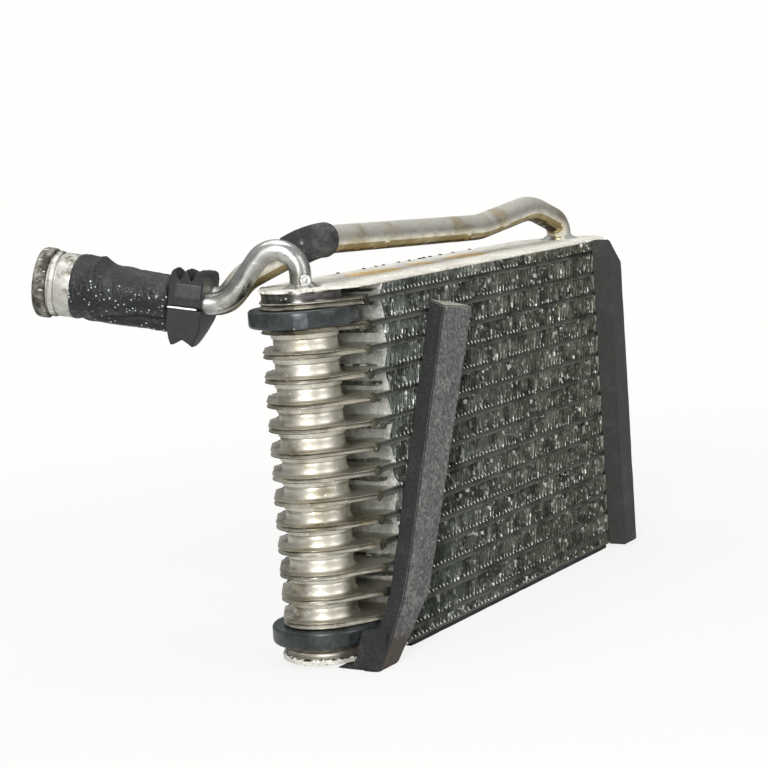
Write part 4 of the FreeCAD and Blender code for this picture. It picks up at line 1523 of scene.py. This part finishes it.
def turned_on_run(name, profile, material, rough):
    """Profile of (radius, distance) turned about the connector's axis."""
    rings = []
    for radius, y in profile:
        ring = []
        for angle in full_turn(84):
            away = across * math.cos(angle) + above * math.sin(angle)
            shake = 1 - rough * max(0.0, wobble(away * 0.02 + tilted * y * MM, 330, 4.0))
            ring.append(tilted_point(connector_start + y * MM, block_side) + away * radius * MM * shake)
        rings.append(ring)
    return ring_piece(name, rings, (material,), 35)


dress(turned_on_run("pipe_connector_body", body_profile, connector_metal, 0.012), "connector_aluminium",
      "pipe_connector")
dress(turned_on_run("pipe_connector_collar", collar_profile, collar_metal, 0.035), "connector_aluminium")
print("collar across:", 2 * max(collar_profile)[0], "mm")

# %% [markdown]
# The far face of the connector has the two ports. It is one flat face with two round holes,
# each with a short wall and a floor ring down to the pipe's end. Blender can cut it from a
# disc with a boolean, but a small fan of faces between circles is lighter and cleaner.

# %% Connector ports
face_at = connector_start + connector_length
face_radius = 17.3 * MM
port_gap = 0.4 * MM
port_floor = 1.5 * MM


def port_ring(distance, side, radius, steps):
    """Circle across the run, at a distance along it and a shift across it."""
    return [tilted_point(distance, side + radius * math.cos(angle), radius * math.sin(angle))
            for angle in full_turn(steps)]


def face_with_ports():
    """Disc with two holes, filled by triangles between its three loops."""
    form = bmesh.new()
    edges = []
    for side, radius, steps in ((block_side, face_radius, 96), (0.0, inlet_radius + port_gap, 48),
                                (pipe_spacing, outlet_radius + port_gap, 48)):
        ring = [form.verts.new(p) for p in port_ring(face_at, side, radius, steps)]
        edges += [form.edges.new((ring[k], ring[(k + 1) % steps])) for k in range(steps)]
    bmesh.ops.triangle_fill(form, use_beauty=True, use_dissolve=False, edges=edges)
    mesh = bpy.data.meshes.new("pipe_connector_face")
    form.to_mesh(mesh)
    form.free()
    mesh.materials.append(connector_metal)
    piece = bpy.data.objects.new("pipe_connector_face", mesh)
    bpy.context.collection.objects.link(piece)
    return piece


dress(face_with_ports(), "connector_aluminium")
for name, side, radius in (("inlet_port_wall", 0.0, inlet_radius),
                           ("outlet_port_wall", pipe_spacing, outlet_radius)):
    rings = [port_ring(face_at, side, radius + port_gap, 48),
             port_ring(face_at - port_depth, side, radius + port_gap, 48),
             port_ring(face_at - port_depth, side, radius - port_floor, 48)]
    dress(ring_piece(name, rings, (connector_metal,), 40), "connector_aluminium")
    print(name, "across:", round(2 * (radius + port_gap) / MM, 1), "mm")

# %% [markdown]
# Foam strips are cut from sheet. They have square cut edges, slightly rounded by age, and a
# surface that is never quite flat. Each starts as its front outline, is pushed through its
# thickness and bevelled, and is then split into small triangles that a little noise can move.

# %% Helper: foam slab
longest_edge = 2.5 * MM
shake_size = 0.30 * MM


def slab_form(outline, front, back):
    """Bevelled slab with its outline in X and Z, split into small triangles."""
    form = bmesh.new()
    face = form.faces.new([form.verts.new((x, front, z)) for x, z in outline])
    made = bmesh.ops.extrude_face_region(form, geom=[face])
    moved = [item for item in made["geom"] if isinstance(item, bmesh.types.BMVert)]
    bmesh.ops.translate(form, verts=moved, vec=(0, back - front, 0))
    bmesh.ops.recalc_face_normals(form, faces=form.faces)
    bmesh.ops.bevel(form, geom=list(form.edges), offset=0.8 * MM, segments=2, affect="EDGES",
                    clamp_overlap=True)
    bmesh.ops.triangulate(form, faces=form.faces)
    for _ in range(6):
        long_edges = [edge for edge in form.edges if edge.calc_length() > longest_edge]
        if not long_edges:
            break
        bmesh.ops.subdivide_edges(form, edges=long_edges, cuts=1)
        bmesh.ops.triangulate(form, faces=form.faces)
    return form


def foam_slab(name, outline, front, back, node, seed, finishes, lift=0.0):
    """Slab of foam, shaken by noise inside its solid's box, its top end lifted at the back."""
    form = slab_form(outline, front, back)
    low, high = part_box(node)
    (left_x, left_z), (right_x, right_z) = outline[:2]
    for vert in form.verts:
        shake = Vector((wobble(vert.co, 120, seed), wobble(vert.co, 90, seed + 3),
                        wobble(vert.co, 100, seed + 7)))
        vert.co += shake * shake_size
        for axis in range(3):
            vert.co[axis] = clamp(vert.co[axis], low[axis], high[axis])
        share = (vert.co.x - left_x) / (right_x - left_x)
        near_top = left_z + share * (right_z - left_z) - 1.3 * MM
        if lift and -0.1 < share < 1.1 and vert.co.z > near_top:
            vert.co.z += lift * (vert.co.y - front) / (back - front) * (1 - 0.45 * share)
    mesh = bpy.data.meshes.new(name)
    form.to_mesh(mesh)
    form.free()
    for finish in finishes:
        mesh.materials.append(finish)
    for polygon in mesh.polygons:
        polygon.use_smooth = True
        # Painted light: faces turned to the front take the second finish, upward faces high up the third.
        if polygon.normal.y < -0.75:
            polygon.material_index = 1
        elif polygon.normal.z > 0.75 and polygon.center.z > (low.z + high.z) / 2:
            polygon.material_index = 2
    piece = link_piece(name, mesh, 50)
    dress(piece, "strip_foam", node)
    print(name, "triangles:", len(mesh.polygons))


# %% [markdown]
# The loose strip leans across the front of the core. Its front and top are painted lighter
# grey, as painted light, and its cut sides are left black. Its foot bends and runs out on the
# floor, where it has gone brown with damp.

# %% Loose foam strip
low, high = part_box("loose_foam_strip")
strip_back = low.y + 10.3 * MM
lean = math.radians(23)
bend_height = 40.6 * MM
strip_top = Vector((-half_length + 47.6 * MM, 0, high.z))
bend = Vector((strip_top.x - (strip_top.z - bend_height) * math.tan(lean), 0, bend_height))
foot_left = Vector((bend.x - 35.2 * MM, 0, 0))
wide = Vector((math.cos(lean), 0, -math.sin(lean)))
middle = (bend + foot_left) / 2 + wide * 2.4 * MM
lower_quarter = (foot_left + middle) / 2 + wide * 1.0 * MM
upper_quarter = (bend + middle) / 2 + wide * 0.9 * MM
loose_outline = [
    (strip_top.x, strip_top.z),
    (strip_top.x + 32.5 * MM, strip_top.z - 4.2 * MM),
    (bend.x + wide.x * 26 * MM, bend.z + wide.z * 26 * MM),
    (foot_left.x + 21.4 * MM, 0.0),
    (foot_left.x, 0.0),
    (lower_quarter.x, lower_quarter.z),
    (middle.x, middle.z),
    (upper_quarter.x, upper_quarter.z),
    (bend.x, bend.z),
]
foam_slab("loose_foam_strip_dressed", loose_outline, low.y, strip_back, "loose_foam_strip", 1.0,
          (strip_foam, damp_strip_front_painted_light, strip_top_painted_light), lift=4.0 * MM)

# %% [markdown]
# At the floor the strip's foot is folded back under itself, and a thin torn tongue of it runs
# on below the left tank. This heel is laid as outlines side by side, each shaken a little.

# %% Heel of the loose strip
heel_depth, tongue_length = 7.5 * MM, 9.5 * MM
heel_end = strip_back + heel_depth
heel_line = ((low.y + 0.4 * MM, 0.2), (strip_back, 0.1), (heel_end, 0.1),
             (heel_end + 0.55 * tongue_length, 0.1), (heel_end + tongue_length, 0.3),
             (heel_end + 0.6 * tongue_length, 1.5), (heel_end, 2.0),
             (strip_back + 0.72 * heel_depth, 4.6), (strip_back + 0.5 * heel_depth, 7.6),
             (strip_back + 0.26 * heel_depth, 13.6), (strip_back - 0.3 * MM, 20.8), (low.y + 0.6 * MM, 21.4))
heel_slices = ((1.0, 0.80), (1.3, 0.95), (2.4, 1.0), (5.0, 1.0), (8.0, 1.0), (10.6, 1.0), (11.7, 0.95),
               (12.0, 0.80))
heel_middle = 6.0
rings = []
for x, shrink in heel_slices:
    ring = []
    for y, z in heel_line:
        p = Vector((foot_left.x + x * MM, strip_back + (y - strip_back) * shrink,
                    (heel_middle + (z - heel_middle) * shrink) * MM))
        p += Vector((0.0, 0.35, 0.3)) * MM * wobble(p, 180, 3.0)
        p.y = clamp(p.y, low.y, high.y)
        p.z = max(0.0, p.z)
        ring.append(p)
    rings.append(ring)
heel = ring_piece("loose_foam_strip_heel", rings, (strip_foam,), 40, caps="both")
dress(heel, "strip_foam")
print("heel slices:", len(heel_slices))

# %% [markdown]
# A second strip is still in its place at the outlet end of the front face. It is a plain
# rectangle with one corner cut off, made by the same helper.

# %% Corner foam strip
low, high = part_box("corner_foam_strip")
cut_corner = 16 * MM
corner_outline = [
    (low.x, low.z),
    (high.x, low.z),
    (high.x, high.z - cut_corner),
    (high.x - cut_corner, high.z),
    (low.x, high.z),
]
foam_slab("corner_foam_strip_dressed", corner_outline, low.y, high.y, "corner_foam_strip", 5.0,
          (corner_foam, corner_foam, corner_foam))

# %% [markdown]
# The pad under the core is a thin sheet of the same foam, squeezed by the weight, so its
# edge wavers. It is one outline at five levels, pulled in at its lower and upper edge.

# %% Base foam pad
low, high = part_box("base_foam_pad")
pad_stations = 90
pad_levels = ((0.5, low.z), (0.1, low.z + 0.4 * MM), (0.0, (low.z + high.z) / 2), (0.1, high.z - 0.3 * MM),
              (0.5, high.z))


def pad_edge(share, y, inward, inset, z):
    """Point of the pad's edge. inward is 1 at the front and -1 at the rear."""
    x = low.x + (high.x - low.x) * share
    waver = 0.6 * max(0.0, wobble((x, 0 if inward > 0 else 1, 0), 90))
    return Vector((x, y + inward * (inset + waver) * MM, z))


rings = []
for inset, z in pad_levels:
    ring = [pad_edge(k / pad_stations, low.y, 1, inset, z) for k in range(pad_stations)]
    ring += [pad_edge(1 - k / pad_stations, high.y, -1, inset, z) for k in range(pad_stations + 1)]
    rings.append(ring)
pad = ring_piece("base_foam_pad_dressed", rings, (pad_foam,), 50, caps="both")
dress(pad, "pad_foam", "base_foam_pad")
print("pad thickness:", round((high.z - low.z) / MM, 1), "mm")

# %% [markdown]
# The stage is a pale floor and a white world. The floor brightens to plain white away from
# the core, so no horizon shows, and only camera rays see that glow.

# %% Stage: floor
reach = 4.0
floor_mesh = bpy.data.meshes.new("floor")
floor_corners = [(-reach, -reach, 0), (reach, -reach, 0), (reach, reach, 0), (-reach, reach, 0)]
floor_mesh.from_pydata(floor_corners, [], [(0, 1, 2, 3)])
floor = bpy.data.objects.new("floor", floor_mesh)
floor.location.z = -0.1 * MM
bpy.context.collection.objects.link(floor)
floor_paint = bpy.data.materials.new("pale_floor")
floor_paint.use_nodes = True
tree = floor_paint.node_tree
surface = tree.nodes["Principled BSDF"]
surface.inputs["Base Color"].default_value = (0.62, 0.62, 0.61, 1)
surface.inputs["Roughness"].default_value = 0.8
rays = tree.nodes.new("ShaderNodeLightPath")
glow = add_node(tree, "ShaderNodeEmission", Color=(1, 0.995, 0.985, 1), Strength=1.0)
from_middle = vector_maths(tree, "LENGTH", object_place(tree))["Value"]
whiter = mix_value(tree, ramp(tree, from_middle, 0.15, 0.95), 0.84, 1.0)
seen = maths(tree, "MULTIPLY", rays.outputs["Is Camera Ray"], whiter)
blend = add_node(tree, "ShaderNodeMixShader", Fac=seen)
tree.links.new(surface.outputs[0], blend.inputs[1])
tree.links.new(glow.outputs[0], blend.inputs[2])
tree.links.new(blend.outputs[0], tree.nodes["Material Output"].inputs["Surface"])
floor_mesh.materials.append(floor_paint)
floor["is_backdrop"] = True
print("floor side:", 2 * reach, "m")

# %% Stage: world
world = bpy.data.worlds.new("white_studio")
world.use_nodes = True
bpy.context.scene.world = world
tree = world.node_tree
ambient = tree.nodes["Background"]
ambient.inputs["Color"].default_value = (0.96, 0.98, 1.0, 1)
sky_place = tree.nodes.new("ShaderNodeTexCoord").outputs["Generated"]
sky = add_node(tree, "ShaderNodeSeparateXYZ", Vector=sky_place)
sky_strength = mix_value(tree, ramp(tree, sky.outputs["Z"], -0.05, 0.7), 0.15, 0.56)
set_socket(tree, ambient.inputs["Strength"], sky_strength)
backdrop = add_node(tree, "ShaderNodeBackground", Color=(1, 0.995, 0.985, 1), Strength=1.0)
rays = tree.nodes.new("ShaderNodeLightPath")
seen = maths(tree, "ADD", rays.outputs["Is Camera Ray"], rays.outputs["Is Transmission Ray"], clamped=True)
blend = add_node(tree, "ShaderNodeMixShader", Fac=seen)
tree.links.new(ambient.outputs[0], blend.inputs[1])
tree.links.new(backdrop.outputs[0], blend.inputs[2])
tree.links.new(blend.outputs[0], tree.nodes["World Output"].inputs["Surface"])
print("world:", world.name)


# %% [markdown]
# The core is lit by a tall soft lamp a little left of the camera, by a wide one from above,
# and by a weak one from the right. Large area lamps give the soft shadows of a light box.

# %% Lamps
def soft_lamp(name, bearing, distance, height, size, tall, power):
    """Rectangular area lamp at a bearing in degrees, pointing at the middle of the core."""
    data = bpy.data.lights.new(name, "AREA")
    data.shape = "RECTANGLE"
    data.size = size
    data.size_y = tall
    data.energy = power
    lamp = bpy.data.objects.new(name, data)
    bpy.context.collection.objects.link(lamp)
    angle = math.radians(bearing)
    lamp.location = (distance * math.cos(angle), distance * math.sin(angle), height)
    aim = Vector((-0.05, 0, 0.1)) - lamp.location
    lamp.rotation_euler = aim.to_track_quat("-Z", "Y").to_euler()
    print(name, power, "W")


soft_lamp("key_lamp", 198, 1.5, 0.75, 0.45, 1.0, 19)
soft_lamp("front_lamp", 258, 1.5, 0.7, 0.6, 0.8, 7)
soft_lamp("top_lamp", 90, 0.2, 1.6, 1.1, 1.1, 13)
bpy.context.scene.view_settings.view_transform = "Standard"

# %% Compare sizes and finish
dressed_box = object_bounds()
for before, after in zip(solid_box, dressed_box):
    print("change in mm:", [round((b - a) / MM, 2) for a, b in zip(before, after)])
